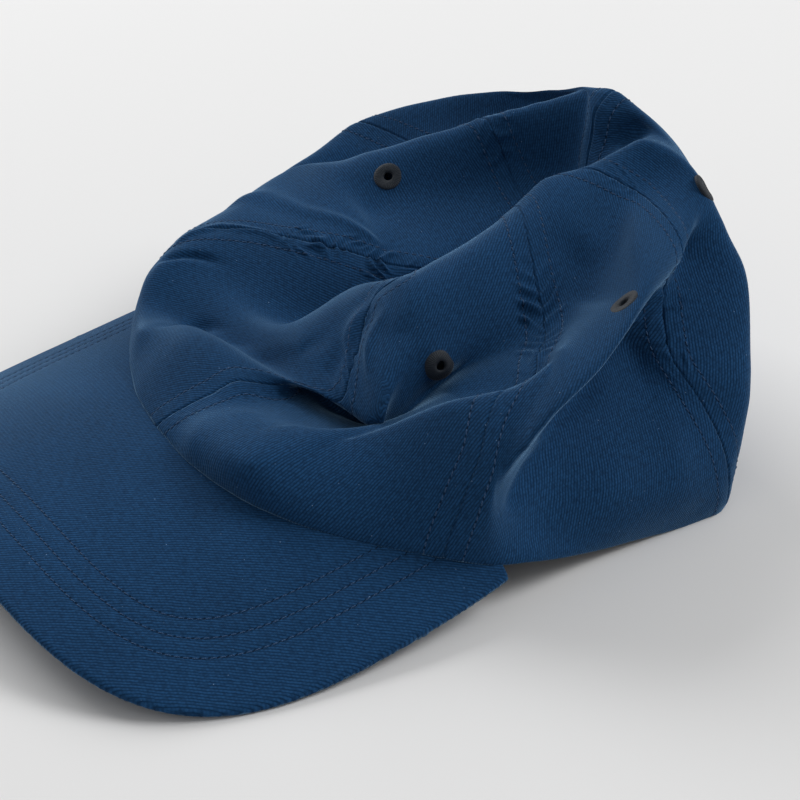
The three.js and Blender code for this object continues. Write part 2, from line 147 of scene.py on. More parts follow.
# Lines along which the cloth is bent, stations of around, up, x, y, z
FOLDS = {
    "near_crest": [
        [12, 0.05, 19, 0, 34], [27, 0.11, 43, 4.5, 38.5], [37, 0.16, 47, 26, 37.5],
        [46, 0.2, 54.5, 38.5, 41], [54, 0.235, 68, 50, 51.5], [61, 0.27, 76.5, 61.5, 54.5],
        [70, 0.315, 80.5, 71.5, 59.5],
    ],
    "behind_near_crest": [
        [50, 0.3, 61.5, 54.5, 45.5], [60, 0.35, 72, 72, 50], [61, 0.42, 66.5, 82.5, 52],
        [72, 0.42, 72, 82.5, 58.5],
    ],
    "pocket": [
        [363, 0.245, 11, 42, 33], [368, 0.29, 20, 46.5, 30.5], [373, 0.335, 30, 49, 29.5],
        [380, 0.375, 39.5, 49, 30.5],
    ],
    "tongue_edge": [
        [357.5, 0.225, 13, 34, 38], [359, 0.27, 22.5, 37.5, 38], [361.5, 0.34, 34, 40, 37.5],
        [366.5, 0.39, 45, 40, 38], [374.5, 0.43, 49.5, 42.5, 40],
    ],
    "front_valley": [
        [50, 0.42, 52, 66.5, 44.5], [60, 0.5, 56, 92, 52], [75, 0.6, 50, 108, 59], [90, 0.7, 44, 120, 66],
        [105, 0.7, 42, 128, 70],
    ],
    "main_ridge": [
        [0, 0.66, 20, 69, 63], [30, 0.7, 25, 86, 67], [60, 0.8, 16, 113.5, 71], [90, 0.83, 14, 125, 76],
        [120, 0.8, 18, 135, 78], [148, 0.68, 25, 151.5, 85.5],
    ],
    "roll_edge": [
        [72, 0.06, 90.5, 53.5, 17], [75, 0.2, 88, 52, 34], [80, 0.31, 92, 57.5, 47.5],
        [86, 0.38, 93, 68.5, 57], [92, 0.43, 90.5, 83, 62.5], [105, 0.46, 77.5, 110, 68],
        [120, 0.47, 64, 134, 68], [136, 0.51, 53, 151, 74.5],
    ],
    "under_roll": [
        [82, 0.1, 86.5, 68.5, 19], [84, 0.22, 77, 78, 37.5], [90, 0.33, 69, 95.5, 49.5],
        [105, 0.37, 61, 115.5, 54.5], [120, 0.375, 59.5, 132.5, 55.5], [134, 0.42, 53.5, 145.5, 62.5],
    ],
    "roll_crest": [
        [76, 0.4, 77.5, 80, 62], [90, 0.57, 70.5, 106, 67.5], [105, 0.6, 58, 121, 73.5],
        [120, 0.62, 38, 142, 75], [135, 0.6, 38, 153, 80],
    ],
    "rear_shoulder": [
        [124, 0.12, 91.5, 134.5, 19], [129, 0.23, 86.5, 139, 36], [134, 0.3, 78.5, 146, 46.5],
        [140, 0.38, 64.5, 156, 60], [150, 0.49, 46.5, 159, 76], [163, 0.54, 24, 162.5, 84],
    ],
    "back_top": [
        [180, 0.56, 0, 163, 90], [203, 0.5, -32.5, 163, 79], [225, 0.42, -63, 153.5, 68.5],
        [240, 0.37, -90, 134, 55], [255, 0.33, -92, 119, 49], [270, 0.3, -88, 95, 46],
        [285, 0.29, -80, 74, 44.5], [300, 0.24, -71, 52, 44.5], [315, 0.22, -62, 36, 40],
    ],
    "far_ridge": [
        [284, 0.38, -81.5, 98, 50], [265, 0.49, -65, 115.5, 58], [240, 0.54, -41, 142, 71],
        [218, 0.61, -24, 151.5, 80.5], [203, 0.63, -11, 160, 86.5],
    ],
    "far_dip": [
        [264, 0.41, -81, 121.5, 46], [240, 0.46, -62, 140, 54.5], [222, 0.53, -42.5, 155.5, 66.5],
        [208, 0.57, -25, 162.5, 76.5],
    ],
    "far_slope": [
        [285, 0.62, -37, 100, 49], [270, 0.62, -45, 112, 52], [255, 0.66, -34, 128, 57],
        [240, 0.7, -26, 143, 62], [215, 0.7, -13, 152, 69],
    ],
    "valley_floor": [
        [338, 0.68, -11.5, 78.5, 39], [360, 0.8, -3, 95, 42],
    ],
    "far_floor": [
        [300, 0.76, -13, 99, 43], [270, 0.8, -14, 118, 47], [240, 0.84, -10, 140, 54],
        [210, 0.84, -2, 148, 60],
    ],
    "pocket_lip": [
        [363, 0.2, 14, 29.5, 34.5], [371, 0.225, 29.5, 31, 34], [380, 0.26, 41.5, 34, 34.5],
    ],
    "left_ridge": [
        [345, 0.3, 2, 43.5, 41.5], [348, 0.4, 4, 51.5, 46.5], [353, 0.5, 7.5, 59, 52.5],
        [359, 0.59, 13.5, 64.5, 57.5],
    ],
    "left_valley": [
        [330, 0.37, -22, 48.5, 36.5], [328, 0.47, -19.5, 57.5, 33.5], [332, 0.57, -16, 67, 34],
    ],
    "beside_tongue": [
        [22, 0.43, 45.5, 44, 37], [25, 0.445, 45, 48.5, 38], [28, 0.455, 44.5, 54, 39.5],
        [31, 0.475, 43.5, 60.5, 41], [36, 0.49, 43.5, 67, 42.5],
    ],
    "front_crest": [
        [333, 0.07, -40, 17.5, 35.5], [341, 0.125, -28, 24.5, 40], [347, 0.165, -19, 27, 41.5],
        [352, 0.19, -8, 29, 41.5], [356.5, 0.205, 7, 30.5, 39.5],
    ],
    "small_crest": [
        [290, 0.34, -71, 74, 49], [292, 0.42, -57, 82, 49.5], [294, 0.5, -39, 89, 49.5],
    ],
}
# Single places between the folds, around, up, x, y, z
PLACES = [
    [322, 0.16, -54, 29, 34], [12, 0.14, 22, 16, 38.5], [24, 0.19, 36, 22, 39], [90, 0.13, 90, 89, 24],
    [105, 0.14, 91, 112, 24], [120, 0.18, 85, 128, 30], [120, 0.28, 72, 125, 43], [150, 0.22, 54, 153, 34],
    [180, 0.28, 0, 168, 45], [210, 0.25, -55, 158, 38], [240, 0.17, -95, 138, 28], [270, 0.15, -96, 92, 25],
    [300, 0.1, -80, 46, 29], [300, 0.62, -20, 92, 44], [330, 0.2, -42, 33, 32.5], [318, 0.3, -55, 47, 41],
    [180, 0.5, 0, 168, 83], [163, 0.48, 27, 167, 78], [180, 0.62, 0, 156, 85], [165, 0.72, 11, 153, 74],
    [150, 0.84, 12, 140, 64], [180, 0.74, 1, 153, 71], [30, 0.9, 2, 112, 44], [60, 0.12, 84, 42, 31],
    [60, 0.2, 83, 49, 44], [0, 1, 8, 125, 46], [30, 0.54, 46.5, 64, 48], [30, 0.6, 40.5, 69.5, 55],
    [165, 0.62, 13.5, 160, 82], [150, 0.42, 48.5, 163, 63.5], [300, 0.42, -44, 74, 48],
    [300, 0.36, -53, 68.5, 48], [0, 0.055, 3, 6.5, 33.5], [0, 0.117, 6.5, 15.5, 37.5],
    [0, 0.165, 7.5, 23, 39.5], [341, 0.25, -20, 38, 33], [349, 0.25, -4, 37.5, 34.5],
    [4, 0.58, 26.5, 57.5, 57], [5, 0.5, 31.5, 49.5, 51.5], [4, 0.44, 37, 44, 44.5],
    [355, 0.43, 16.5, 49, 46], [353, 0.34, 11.5, 42, 40.5], [14, 0.55, 36, 58, 55.5],
    [22, 0.5, 42.5, 57.5, 50], [33, 0.33, 48.5, 50, 39], [42, 0.35, 52.5, 60.5, 42.5],
    [39.5, 0.201, 49.5, 33.5, 38], [42.8, 0.225, 52.5, 39, 40], [43.4, 0.258, 54, 45, 41],
]
# The degrees at which each panel starts
PANELS = {
    "front_left": 0, "side_left": 60, "rear_left": 120,
    "rear_right": 180, "side_right": 240, "front_right": 300,
}
# The middle of each eyelet, around and up
EYELETS = {
    "front_left": (30, 0.54), "side_left": (91, 0.546), "rear_left": (148, 0.5),
    "rear_right": (212, 0.56), "side_right": (267, 0.587), "front_right": (330, 0.56),
}
print(len(FOLDS), "folds and", len(PLACES), "single places")

# %% [markdown]
# From a few folds to a whole crown
#
# Real cloth takes the smoothest shape that its folds allow. A thin-plate blend does the same: it bends as
# little as it can while it passes through the given places. The distances between places are measured on an
# unworn, round dome, because there neighbours on the cloth are also neighbours in space.

# %% The slumped crown as a function
DOME_RISE = 1.2
SOFTEN = 0.0006
RIM_STEP = 7.5
PEAK_ARCH = 25.0
PEAK_SLOPE = 0.14
PEAK_LIFT = 3.65
PEAK_END_Y = 51.0
RIM_ON_PEAK = 0.1
RIM_EASE = 7.0
SMALLEST = 1e-9


def through(rows, at):
    """Cubic through rows whose first entry is the parameter; the tangent is the mean of the two slopes."""
    rows = np.asarray(rows, float)
    at = np.asarray(at, float)
    knots = rows[:, 0]
    slopes = np.diff(rows[:, 1:], axis=0) / np.diff(knots)[:, None]
    tangents = np.vstack([slopes[:1], (slopes[:-1] + slopes[1:]) / 2, slopes[-1:]])
    i = np.clip(np.searchsorted(knots, at, side="right") - 1, 0, len(knots) - 2)
    width = (knots[i + 1] - knots[i])[:, None]
    t = (at - knots[i])[:, None] / width
    ends = (2 * t**3 - 3 * t**2 + 1) * rows[i, 1:] + (3 * t**2 - 2 * t**3) * rows[i + 1, 1:]
    return ends + width * ((t**3 - 2 * t**2 + t) * tangents[i] + (t**3 - t**2) * tangents[i + 1])


def peak_top(x, y):
    """Height of the peak's upper side: an arch across it, and a slope up towards the crown."""
    return PEAK_ARCH * (1 - (x / PEAK_HALF_WIDTH) ** 2) + PEAK_SLOPE * y + PEAK_LIFT


def rim_height(x, y, own):
    """The rim lies on the peak at the front and comes down to the table at the back."""
    on_peak = peak_top(x, y) + RIM_ON_PEAK
    near_end = np.where(y < PEAK_END_Y + RIM_EASE, np.maximum(own, on_peak), own)
    return np.where(y < PEAK_END_Y, on_peak, near_end)


def rim_at(around):
    """Points of the rim at these degrees."""
    points = through(RIM, np.asarray(around, float) % FULL_TURN)
    points[:, 2] = rim_height(points[:, 0], points[:, 1], points[:, 2])
    return points


def dome(around, up):
    """Places on a round, unworn crown of rim radius 1."""
    around, up = np.broadcast_arrays(around, up)
    angle = np.radians(around)
    rise = np.pi / 2 * up
    return np.stack(
        [np.sin(angle) * np.cos(rise), -np.cos(angle) * np.cos(rise), DOME_RISE * np.sin(rise)], axis=-1
    )


def bending(a, b):
    """Thin-plate kernel between two lists of places: distance squared times its logarithm."""
    distance = np.linalg.norm(a[:, None] - b[None], axis=-1)
    return distance**2 * np.log(np.maximum(distance, SMALLEST))


def spread(stations):
    """Stations of a fold, and one more between each two, on the smooth line through all."""
    rows = np.column_stack([np.arange(len(stations)), stations])
    return through(rows, np.arange(2 * len(stations) - 1) / 2)


rim_degrees = np.arange(0, FULL_TURN, RIM_STEP)
rim_rows = np.column_stack([rim_degrees, 0 * rim_degrees, rim_at(rim_degrees)])
held = np.vstack([rim_rows, *[spread(stations) for stations in FOLDS.values()], PLACES])
held_dome = dome(held[:, 0], held[:, 1])
count = len(held)
straight = np.column_stack([np.ones(count), held_dome])
terms = straight.shape[1]
stiff = bending(held_dome, held_dome) + np.diag(np.where(np.arange(count) < len(rim_rows), 0.0, SOFTEN))
system = np.block([[stiff, straight], [straight.T, np.zeros((terms, terms))]])
weights = np.linalg.solve(system, np.pad(held[:, 2:], ((0, terms), (0, 0))))
print(count, "places held")


def crown(around, up):
    """Outer surface of the crown in millimetres: the thin-plate blend of all held places."""
    around, up = np.broadcast_arrays(around, up)
    places = dome(around.ravel(), up.ravel())
    points = bending(places, held_dome) @ weights[:count]
    points += np.column_stack([np.ones(len(places)), places]) @ weights[count:]
    return points.reshape(around.shape + (3,))


# %% [markdown]
# Small unevenness
#
# Worn cloth is never quite smooth. Random numbers on a lattice, joined by smooth steps, give an unevenness
# that is the same each time the script runs. It is used for faint waves in the cloth and for the puckers at
# seams.

# %% Smooth noise
LATTICE_SIDE = 24
LATTICE_SEED = 7
lattice = np.random.default_rng(LATTICE_SEED).uniform(-1, 1, (LATTICE_SIDE,) * 3)


def noise(*place):
    """Value between -1 and 1: the eight lattice numbers around a place, weighted by smooth steps."""
    low = [np.floor(c).astype(int) for c in place]
    step = [c - f for c, f in zip(place, low)]
    step = [t**3 * (t * (6 * t - 15) + 10) for t in step]
    total = 0.0
    for corner in np.ndindex(2, 2, 2):
        share = 1.0
        for t, side in zip(step, corner):
            share = share * (t if side else 1 - t)
        total = total + share * lattice[tuple((f + side) % LATTICE_SIDE for f, side in zip(low, corner))]
    return total


print("noise at three places:", [round(float(noise(x, 0.3, 0.7)), 3) for x in (0.1, 0.2, 0.3)])

# %% [markdown]
# A cloth shape as a mesh
#
# Each panel is a grid with an outer and an inner side. Cells can be left out for the eyelet's hole.
# Wherever a kept cell borders on a missing one, a narrow face joins the two sides, so the edges and the
# hole close in the same way. Blender's Solidify modifier could add the wall too, but here the hem and the
# hole need control.

# %% Grids to closed shells
def shell_faces(kept):
    """Faces of a closed wall between an outer and an inner grid, from the cells that are kept.

    Corner (i, j) of a side has number i times the columns plus j, and the inner side follows the outer one.
    """
    rows, columns = kept.shape[0] + 1, kept.shape[1] + 1
    number = np.arange(rows * columns).reshape(rows, columns)
    inner = rows * columns
    quad = np.stack([number[:-1, :-1], number[1:, :-1], number[1:, 1:], number[:-1, 1:]], axis=-1)
    faces = [quad[kept], quad[kept][:, ::-1] + inner]
    padded = np.pad(kept, 1)

    def rim(here, there, start, end):
        edge = here & ~there
        a, b = start[edge], end[edge]
        faces.append(np.stack([b, a, a + inner, b + inner], axis=-1))

    across, beside = padded[:, 1:-1], padded[1:-1, :]
    rim(across[:-1], across[1:], number[:, :-1], number[:, 1:])
    rim(across[1:], across[:-1], number[:, 1:], number[:, :-1])
    rim(beside[:, :-1], beside[:, 1:], number[1:, :], number[:-1, :])
    rim(beside[:, 1:], beside[:, :-1], number[:-1, :], number[1:, :])
    return np.vstack(faces)


def make_object(name, points, faces, uv=None, places=None):
    """A smooth-shaded object from arrays, with a flat pattern and places along the stitches if given."""
    used, faces = np.unique(faces, return_inverse=True)
    faces = faces.reshape(-1, 4)
    mesh = bpy.data.meshes.new(name)
    mesh.vertices.add(len(used))
    mesh.vertices.foreach_set("co", to_model(points[used]).ravel())
    mesh.loops.add(faces.size)
    mesh.loops.foreach_set("vertex_index", faces.ravel())
    mesh.polygons.add(len(faces))
    mesh.polygons.foreach_set("loop_start", np.arange(0, faces.size, 4))
    mesh.polygons.foreach_set("use_smooth", np.ones(len(faces), bool))
    mesh.update(calc_edges=True)
    if uv is not None:
        layer = mesh.uv_layers.new(name="flat_pattern")
        layer.data.foreach_set("uv", (uv[used][faces.ravel()] * MILLIMETRE).ravel())
    if places is not None:
        attribute = mesh.attributes.new("stitch_place", "FLOAT_VECTOR", "POINT")
        attribute.data.foreach_set("vector", (places[used] * MILLIMETRE).ravel())
    mesh.validate()
    piece = put_in_scene(name, mesh)
    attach(piece, "root")
    return piece


def unit(vectors):
    """The same directions with length 1."""
    return vectors / np.maximum(np.linalg.norm(vectors, axis=-1, keepdims=True), SMALLEST)


def grid_normals(points):
    """Unit normals of a grid: the cross product of its two directions."""
    return unit(np.cross(np.gradient(points, axis=0), np.gradient(points, axis=1)))


# %% [markdown]
# The pattern each panel was cut from
#
# Twill ribs run straight on the flat cloth, so the weave has to be drawn on the flat pattern. The pattern
# is found by relaxing: each panel starts as a flat grid, and every link between neighbours pulls or pushes
# until it is as long as it is on the folded cloth. Blender's own unwrap does something like it, with less
# say over it.

# %% Flatten a panel
COARSE_STEP = 4
COARSE_ROUNDS = 500
FINE_ROUNDS = 60
OVERSHOOT = 1.6


def relax(flat, points, rounds):
    """Moves flat grid points until the links between neighbours have their length on the folded cloth."""
    links = [(1, 0), (0, 1), (1, 1), (1, -1)]

    def pair(grid, di, dj):
        low, high = max(0, -dj), grid.shape[1] - max(0, dj)
        return grid[: grid.shape[0] - di, low:high], grid[di:, low + dj:high + dj]

    lengths = [np.linalg.norm(np.subtract(*pair(points, *link)), axis=-1) for link in links]
    shares = np.zeros(flat.shape[:2])
    for link in links:
        for side in pair(shares, *link):
            side += 1
    for _ in range(rounds):
        push = np.zeros_like(flat)
        for link, length in zip(links, lengths):
            a, b = pair(flat, *link)
            apart = b - a
            now = np.linalg.norm(apart, axis=-1)
            move = apart * ((now - length) / np.maximum(now, SMALLEST) / 2)[..., None]
            push_a, push_b = pair(push, *link)
            push_a += move
            push_b -= move
        flat = flat + push / shares[..., None] * OVERSHOOT
    return flat


def resample(grid, rows, columns):
    """A coarse grid read at more places, straight lines between its own ones."""
    i = np.linspace(0, grid.shape[0] - 1, rows)
    j = np.linspace(0, grid.shape[1] - 1, columns)
    i0 = np.minimum(i.astype(int), grid.shape[0] - 2)
    j0 = np.minimum(j.astype(int), grid.shape[1] - 2)
    s, t = (i - i0)[:, None, None], (j - j0)[None, :, None]
    near = grid[i0][:, j0] * (1 - t) + grid[i0][:, j0 + 1] * t
    far = grid[i0 + 1][:, j0] * (1 - t) + grid[i0 + 1][:, j0 + 1] * t
    return near * (1 - s) + far * s


def flat_pattern(points):
    """The flat pattern of a panel: relaxed on every fourth line first, then a little on all lines."""
    coarse = points[::COARSE_STEP, ::COARSE_STEP]
    rise = np.linalg.norm(np.diff(coarse, axis=1), axis=-1).mean(axis=0)
    up = np.concatenate([[0.0], np.cumsum(rise)])
    reach = np.linalg.norm(np.diff(coarse, axis=0), axis=-1)
    across = np.vstack([np.zeros(coarse.shape[1]), np.cumsum(reach, axis=0)])
    across = across - across[-1] / 2
    flat = np.stack([across, np.broadcast_to(up, across.shape)], axis=-1)
    flat = relax(flat, coarse, COARSE_ROUNDS)
    return relax(resample(flat, *points.shape[:2]), points, FINE_ROUNDS)


# %% [markdown]
# Seams and puckers
#
# Two panels are sewn together with their edges turned in, and a row of topstitching on each side holds the
# turned edges down. So a seam shows as a fine groove, a slightly raised band of about 5 mm on each side,
# and a dent along each row of stitches. Where the folded crown presses a seam shorter, the band puckers.

# %% Relief of the cloth beside a seam
ROW_FROM_SEAM = 5.3
BAND_RISE = 0.14
SEAM_DEPTH = 0.42
SEAM_WIDTH = 0.4
BAND_FULL = 4.9
BAND_END = 6.5
ROW_DEPTH = 0.12
ROW_WIDTH = 0.6
PUCKER_LENGTH = 5.0
PUCKER_SKEW = 0.7
PUCKER_REACH = 6.5
PUCKER_BASE = 0.07
PUCKER_WANDER = 0.9
PUCKER_SECOND = 0.35
PUCKER_MEAN = 0.55
PUCKER_CHANGE = 0.9
PUCKER_FADE = (1.35, 0.55)
WANDER_LENGTH = 9.0
WANDER_OFFSET = 5
WANDER_LEVEL = 13.0
CHANGE_LENGTH = 6.0
CHANGE_OFFSET = 3
CHANGE_LEVEL = 7.0
# Places where a seam is pressed together: seam in degrees, up, how far it reaches up, depth
PUCKERS = [
    [0, 0.43, 0.08, 0.5],
    [60, 0.59, 0.06, 0.95], [60, 0.47, 0.05, 0.35],
    [120, 0.36, 0.08, 0.7], [120, 0.66, 0.05, 0.15],
    [240, 0.62, 0.08, 0.35],
    [300, 0.48, 0.07, 0.8], [300, 0.6, 0.06, 0.7],
]


def smooth_step(edge_from, edge_to, value):
    """0 at the first edge, 1 at the second, smooth in between."""
    t = np.clip((value - edge_from) / (edge_to - edge_from), 0, 1)
    return t * t * (3 - 2 * t)


def pucker_depth(seam, up):
    """How strongly a seam is puckered at each height: a base and a bell curve for each pressed place."""
    depth = PUCKER_BASE + 0 * up
    for row_seam, row_up, reach, strength in PUCKERS:
        if row_seam == seam % FULL_TURN:
            depth = depth + strength * np.exp(-(((up - row_up) / reach) ** 2))
    return depth


def seam_relief(seam, side, distance, along, up):
    """Height over the smooth cloth at a distance from a seam.

    Side is +1 or -1, so that both sides fit at the seam. Each seam reads the noise at a level of its own.
    """
    band = BAND_RISE * smooth_step(BAND_END, BAND_FULL, distance)
    groove = SEAM_DEPTH * np.exp(-((distance / SEAM_WIDTH) ** 2))
    row = ROW_DEPTH * np.exp(-(((distance - ROW_FROM_SEAM) / ROW_WIDTH) ** 2))
    signed = side * distance
    level = 0 * along + seam
    wander = noise(along / WANDER_LENGTH, signed / WANDER_LENGTH + WANDER_OFFSET, level / WANDER_LEVEL)
    phase = along / PUCKER_LENGTH - PUCKER_SKEW * distance / PUCKER_LENGTH + PUCKER_WANDER * wander
    ripple = np.sin(2 * np.pi * phase) - PUCKER_SECOND * np.cos(4 * np.pi * phase)
    change = noise(along / CHANGE_LENGTH + CHANGE_OFFSET, signed / CHANGE_LENGTH, level / CHANGE_LEVEL)
    ripple = ripple * (PUCKER_MEAN + PUCKER_CHANGE * change)
    fade = smooth_step(*(PUCKER_REACH * share for share in PUCKER_FADE), distance)
    return band - groove - row + pucker_depth(seam, up) * fade * ripple


# %% [markdown]
# Small pleats
#
# Between the large folds the cloth breaks into short pleats: they fan out where the front bends over, and
# run beside the seams. Each is a straight ridge or groove on the cloth, a bell across its line that fades
# at both ends. They are too narrow for the table of folds, whose blend would carry them far into the cloth
# around.

# %% Relief of the small pleats
DOME_RADIUS = 92.0
PLEAT_FADE = 2.6
# Around and up at both ends of each line, width, height; grooves have a negative height
PLEATS = [
    [349, 0.31, 361, 0.6, 2.1, -2.1], [356, 0.44, 364, 0.63, 1.6, 1.6],
    [359.4, 0.43, 361.6, 0.59, 2.0, -1.9], [365.5, 0.46, 364.5, 0.62, 1.5, 1.2],
    [356, 0.35, 356.6, 0.46, 2.2, -1.4], [286, 0.28, 292.6, 0.46, 1.6, 1.9],
    [291.5, 0.42, 294, 0.62, 1.6, 1.8], [303.5, 0.22, 298, 0.31, 1.8, 1.1],
    [298, 0.28, 302.5, 0.42, 1.8, 1.2], [308, 0.2, 316, 0.34, 2.2, -2.0],
    [280, 0.48, 278.5, 0.66, 7.0, -1.8], [336, 0.09, 331, 0.28, 3.2, -2.2],
    [84, 0.74, 78, 0.54, 8.0, -2.2], [166.5, 0.55, 164, 0.71, 4.0, -3.5],
    [86, 0.26, 118, 0.4, 5.0, -4.0], [92, 0.25, 82, 0.22, 3.5, -2.5],
    [84, 0.225, 76, 0.13, 3.5, -2.5], [365, 0.24, 379, 0.36, 3.0, -2.5],
]


def pleat_relief(places):
    """Height of all pleats: a bell across each line, and a flatter one along it, on the unworn crown."""
    height = 0.0
    for start_around, start_up, end_around, end_up, width, rise in PLEATS:
        start = dome(start_around, start_up) * DOME_RADIUS
        line = dome(end_around, end_up) * DOME_RADIUS - start
        along = (places - start) @ line / (line @ line)
        across = np.linalg.norm(places - start - along[..., None] * line, axis=-1)
        height = height + rise * np.exp(-((across / width) ** 2) - (PLEAT_FADE * (along - 0.5)) ** 4)
    return height


print(len(PLEATS), "pleats")

# %% [markdown]
# The six panels
#
# A panel is the crown's function read between two seams, with the relief of its seams added along the
# normals. The hem at the rim rolls in a little. The eyelet's hole is left out of the grid, and the panels
# reach almost to the point where all six meet.

# %% Panel surfaces
PANEL_SPAN = 60.0
AROUND_CELLS = 120
SEAM_CROWDING = 0.72
UP_CELLS = 200
TOP_UP = 0.997
WALL = 1.0
HEM_ROLL = 0.45
HEM_REACH = 1.6
WAVE = 0.22
WAVE_LENGTH = 15.0
SECOND_WAVE = (WAVE / 3, WAVE_LENGTH / 2.3)
WAVE_OFFSET = 40
TOP_EASE = 8.0
EYELET_CUT = 3.3


def row_where(field, value, *grids):
    """Reads grids along the line where field, which grows along its first axis, reaches value."""
    index = np.clip((field < value).sum(axis=0), 1, len(field) - 1)
    column = np.arange(field.shape[1])
    low, high = field[index - 1, column], field[index, column]
    share = np.clip((value - low) / np.maximum(high - low, SMALLEST), 0, 1)
    return [
        grid[index - 1, column] + (grid[index, column] - grid[index - 1, column]) * share[:, None]
        for grid in grids
    ]


def lengths_along(points):
    """Distance along a line of points, from its first."""
    return np.concatenate([[0.0], np.cumsum(np.linalg.norm(np.diff(points, axis=0), axis=-1))])


# How far the ribs of a panel are turned from those of the others, in degrees
GRAIN_TURN = {"front_left": 18, "side_left": 12}
stitch_rows = []


def make_panel(name, start):
    """One panel as an object: smooth cloth, seam relief, faint waves, hem and hole."""
    share = np.arange(-1, AROUND_CELLS + 2) / AROUND_CELLS
    share = share - SEAM_CROWDING * np.sin(2 * np.pi * share) / (2 * np.pi)
    around = start + PANEL_SPAN * share
    up = np.linspace(0, TOP_UP, UP_CELLS + 1)
    smooth = crown(around[:, None], up[None, :])
    normals = grid_normals(smooth)[1:-1]
    smooth = smooth[1:-1]
    around = around[1:-1]
    widths = np.linalg.norm(np.diff(smooth, axis=0), axis=-1)
    from_start = np.vstack([np.zeros(UP_CELLS + 1), np.cumsum(widths, axis=0)])
    from_end = from_start[-1] - from_start
    along_start, along_end = (
        lengths_along(row_where(distance, ROW_FROM_SEAM, grid)[0])
        for distance, grid in ((from_start, smooth), (from_end[::-1], smooth[::-1]))
    )
    heights = np.broadcast_to(up, from_start.shape)
    relief = seam_relief(start, 1, from_start, np.broadcast_to(along_start, from_start.shape), heights)
    relief = relief + seam_relief(
        start + PANEL_SPAN, -1, from_end, np.broadcast_to(along_end, from_start.shape), heights
    )
    places = dome(around[:, None], up[None, :]) * DOME_RADIUS
    for tall, length in ((WAVE, WAVE_LENGTH), SECOND_WAVE):
        relief = relief + tall * noise(*np.moveaxis(places / length + WAVE_OFFSET, -1, 0))
    relief = relief + pleat_relief(places)
    climb = lengths_along(smooth[AROUND_CELLS // 2])
    relief = relief - HEM_ROLL * np.exp(-climb / HEM_REACH)
    relief = relief * np.minimum(1, from_start[-1] / TOP_EASE)
    outer = smooth + normals * relief[..., None]
    outer[:, 0, 2] = smooth[:, 0, 2]
    inward = normals.copy()
    inward[:, 0, 2] = 0
    inward[:, 0] = unit(inward[:, 0])
    inner = outer - inward * WALL
    centre = crown(*np.array(EYELETS[name])[:, None])[0]
    cells = (smooth[:-1, :-1] + smooth[1:, 1:]) / 2
    kept = np.linalg.norm(cells - centre, axis=-1) > EYELET_CUT
    nearest_start = from_start < from_end
    across_row = np.where(nearest_start, from_start, from_end) - ROW_FROM_SEAM
    along_row = np.where(nearest_start, along_start[None], along_end[None])
    stitch_place = np.stack([across_row, along_row, 0 * along_row], axis=-1)
    for distance, flip in ((from_start, 1), (from_end, -1)):
        line, out = row_where(distance[::flip], ROW_FROM_SEAM, outer[::flip], normals[::flip])
        reached = distance.max(axis=0) > 2 * ROW_FROM_SEAM
        stitch_rows.append((line[reached], out[reached]))
    grain = -math.radians(GRAIN_TURN.get(name, 0))
    turned = [[math.cos(grain), math.sin(grain)], [-math.sin(grain), math.cos(grain)]]
    pattern = flat_pattern(smooth) @ np.array(turned)
    piece = make_object(
        f"twill_panel_{name}",
        np.vstack([outer.reshape(-1, 3), inner.reshape(-1, 3)]),
        shell_faces(kept),
        uv=np.tile(pattern.reshape(-1, 2), (2, 1)),
        places=np.tile(stitch_place.reshape(-1, 3), (2, 1)),
    )
    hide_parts(f"panel_{name}")
    print(piece.name, "rim", round(from_start[-1, 0]), "mm, faces", len(piece.data.polygons))
    return piece


panels = {name: make_panel(name, start) for name, start in PANELS.items()}

# %% [markdown]
# The peak
#
# The peak is a stiff board between two layers of twill. Its outline is a superellipse, which is fuller at
# the corners than an ellipse, and ends in two short straight pieces at the rim. Its upper side is arched.
# Three rows of stitches follow the edge, and each presses a shallow channel into the cloth.

# %% Peak surface
PEAK_THICK = 2.2
PEAK_POWER = 3.35
PEAK_END_SHARE = 0.12
PEAK_END_TAPER = 1.3
PEAK_TUCK = 3.5
PEAK_TURN = 69.0
PEAK_ALONG_CELLS = 420
PEAK_ACROSS_CELLS = 90
CELL_CROWDING = 1.1
OUTLINE_STEPS = 4000
EDGE_STEPS = 1200
EDGE_ROUND = 1.3
EDGE_LEFT = 0.15
PEAK_ROWS = (13.5, 18.8, 24.1)
CHANNEL_DEPTH = 0.22
CHANNEL_WIDTH = 0.9
PEAK_WAVE = 0.16
PEAK_WAVE_LENGTH = 26.0
PEAK_WAVE_PLACE = (9, 9, 3.3)
NO_ROW_NEAR = 99.0
HIDDEN_MORE = 1.0
ROW_MARGIN = 0.5


def peak_outline(share):
    """Outline at a share of its length: a superellipse round the tip, then a straight end."""
    side = np.sign(share - 0.5)
    s = np.abs(share - 0.5) * 2
    turn = np.pi / 2 * np.minimum(s / (1 - PEAK_END_SHARE), 1)
    t = np.maximum(s - 1 + PEAK_END_SHARE, 0) / PEAK_END_SHARE
    x = PEAK_HALF_WIDTH * np.sin(turn) ** (2 / PEAK_POWER) - PEAK_END_TAPER * t * t
    y = PEAK_CENTRE_Y - PEAK_REACH * np.cos(turn).clip(0) ** (2 / PEAK_POWER)
    return np.stack([side * x, y + (PEAK_END_Y - PEAK_CENTRE_Y) * t], axis=-1)


def peak_inner_edge(share):
    """Inner edge, a little way in under the crown's rim."""
    around = (share - 0.5) * 2 * PEAK_TURN
    here, before, after = (through(RIM, (around + d) % FULL_TURN)[:, :2] for d in (0, -1, 1))
    along = unit(after - before)
    return here + np.stack([-along[:, 1], along[:, 0]], axis=-1) * PEAK_TUCK


def even_shares(outline, cells):
    """Shares that cut the outline into pieces of equal length."""
    share = np.linspace(0, 1, OUTLINE_STEPS + 1)
    length = lengths_along(outline(share))
    return np.interp(np.linspace(0, length[-1], cells + 1), length, share)


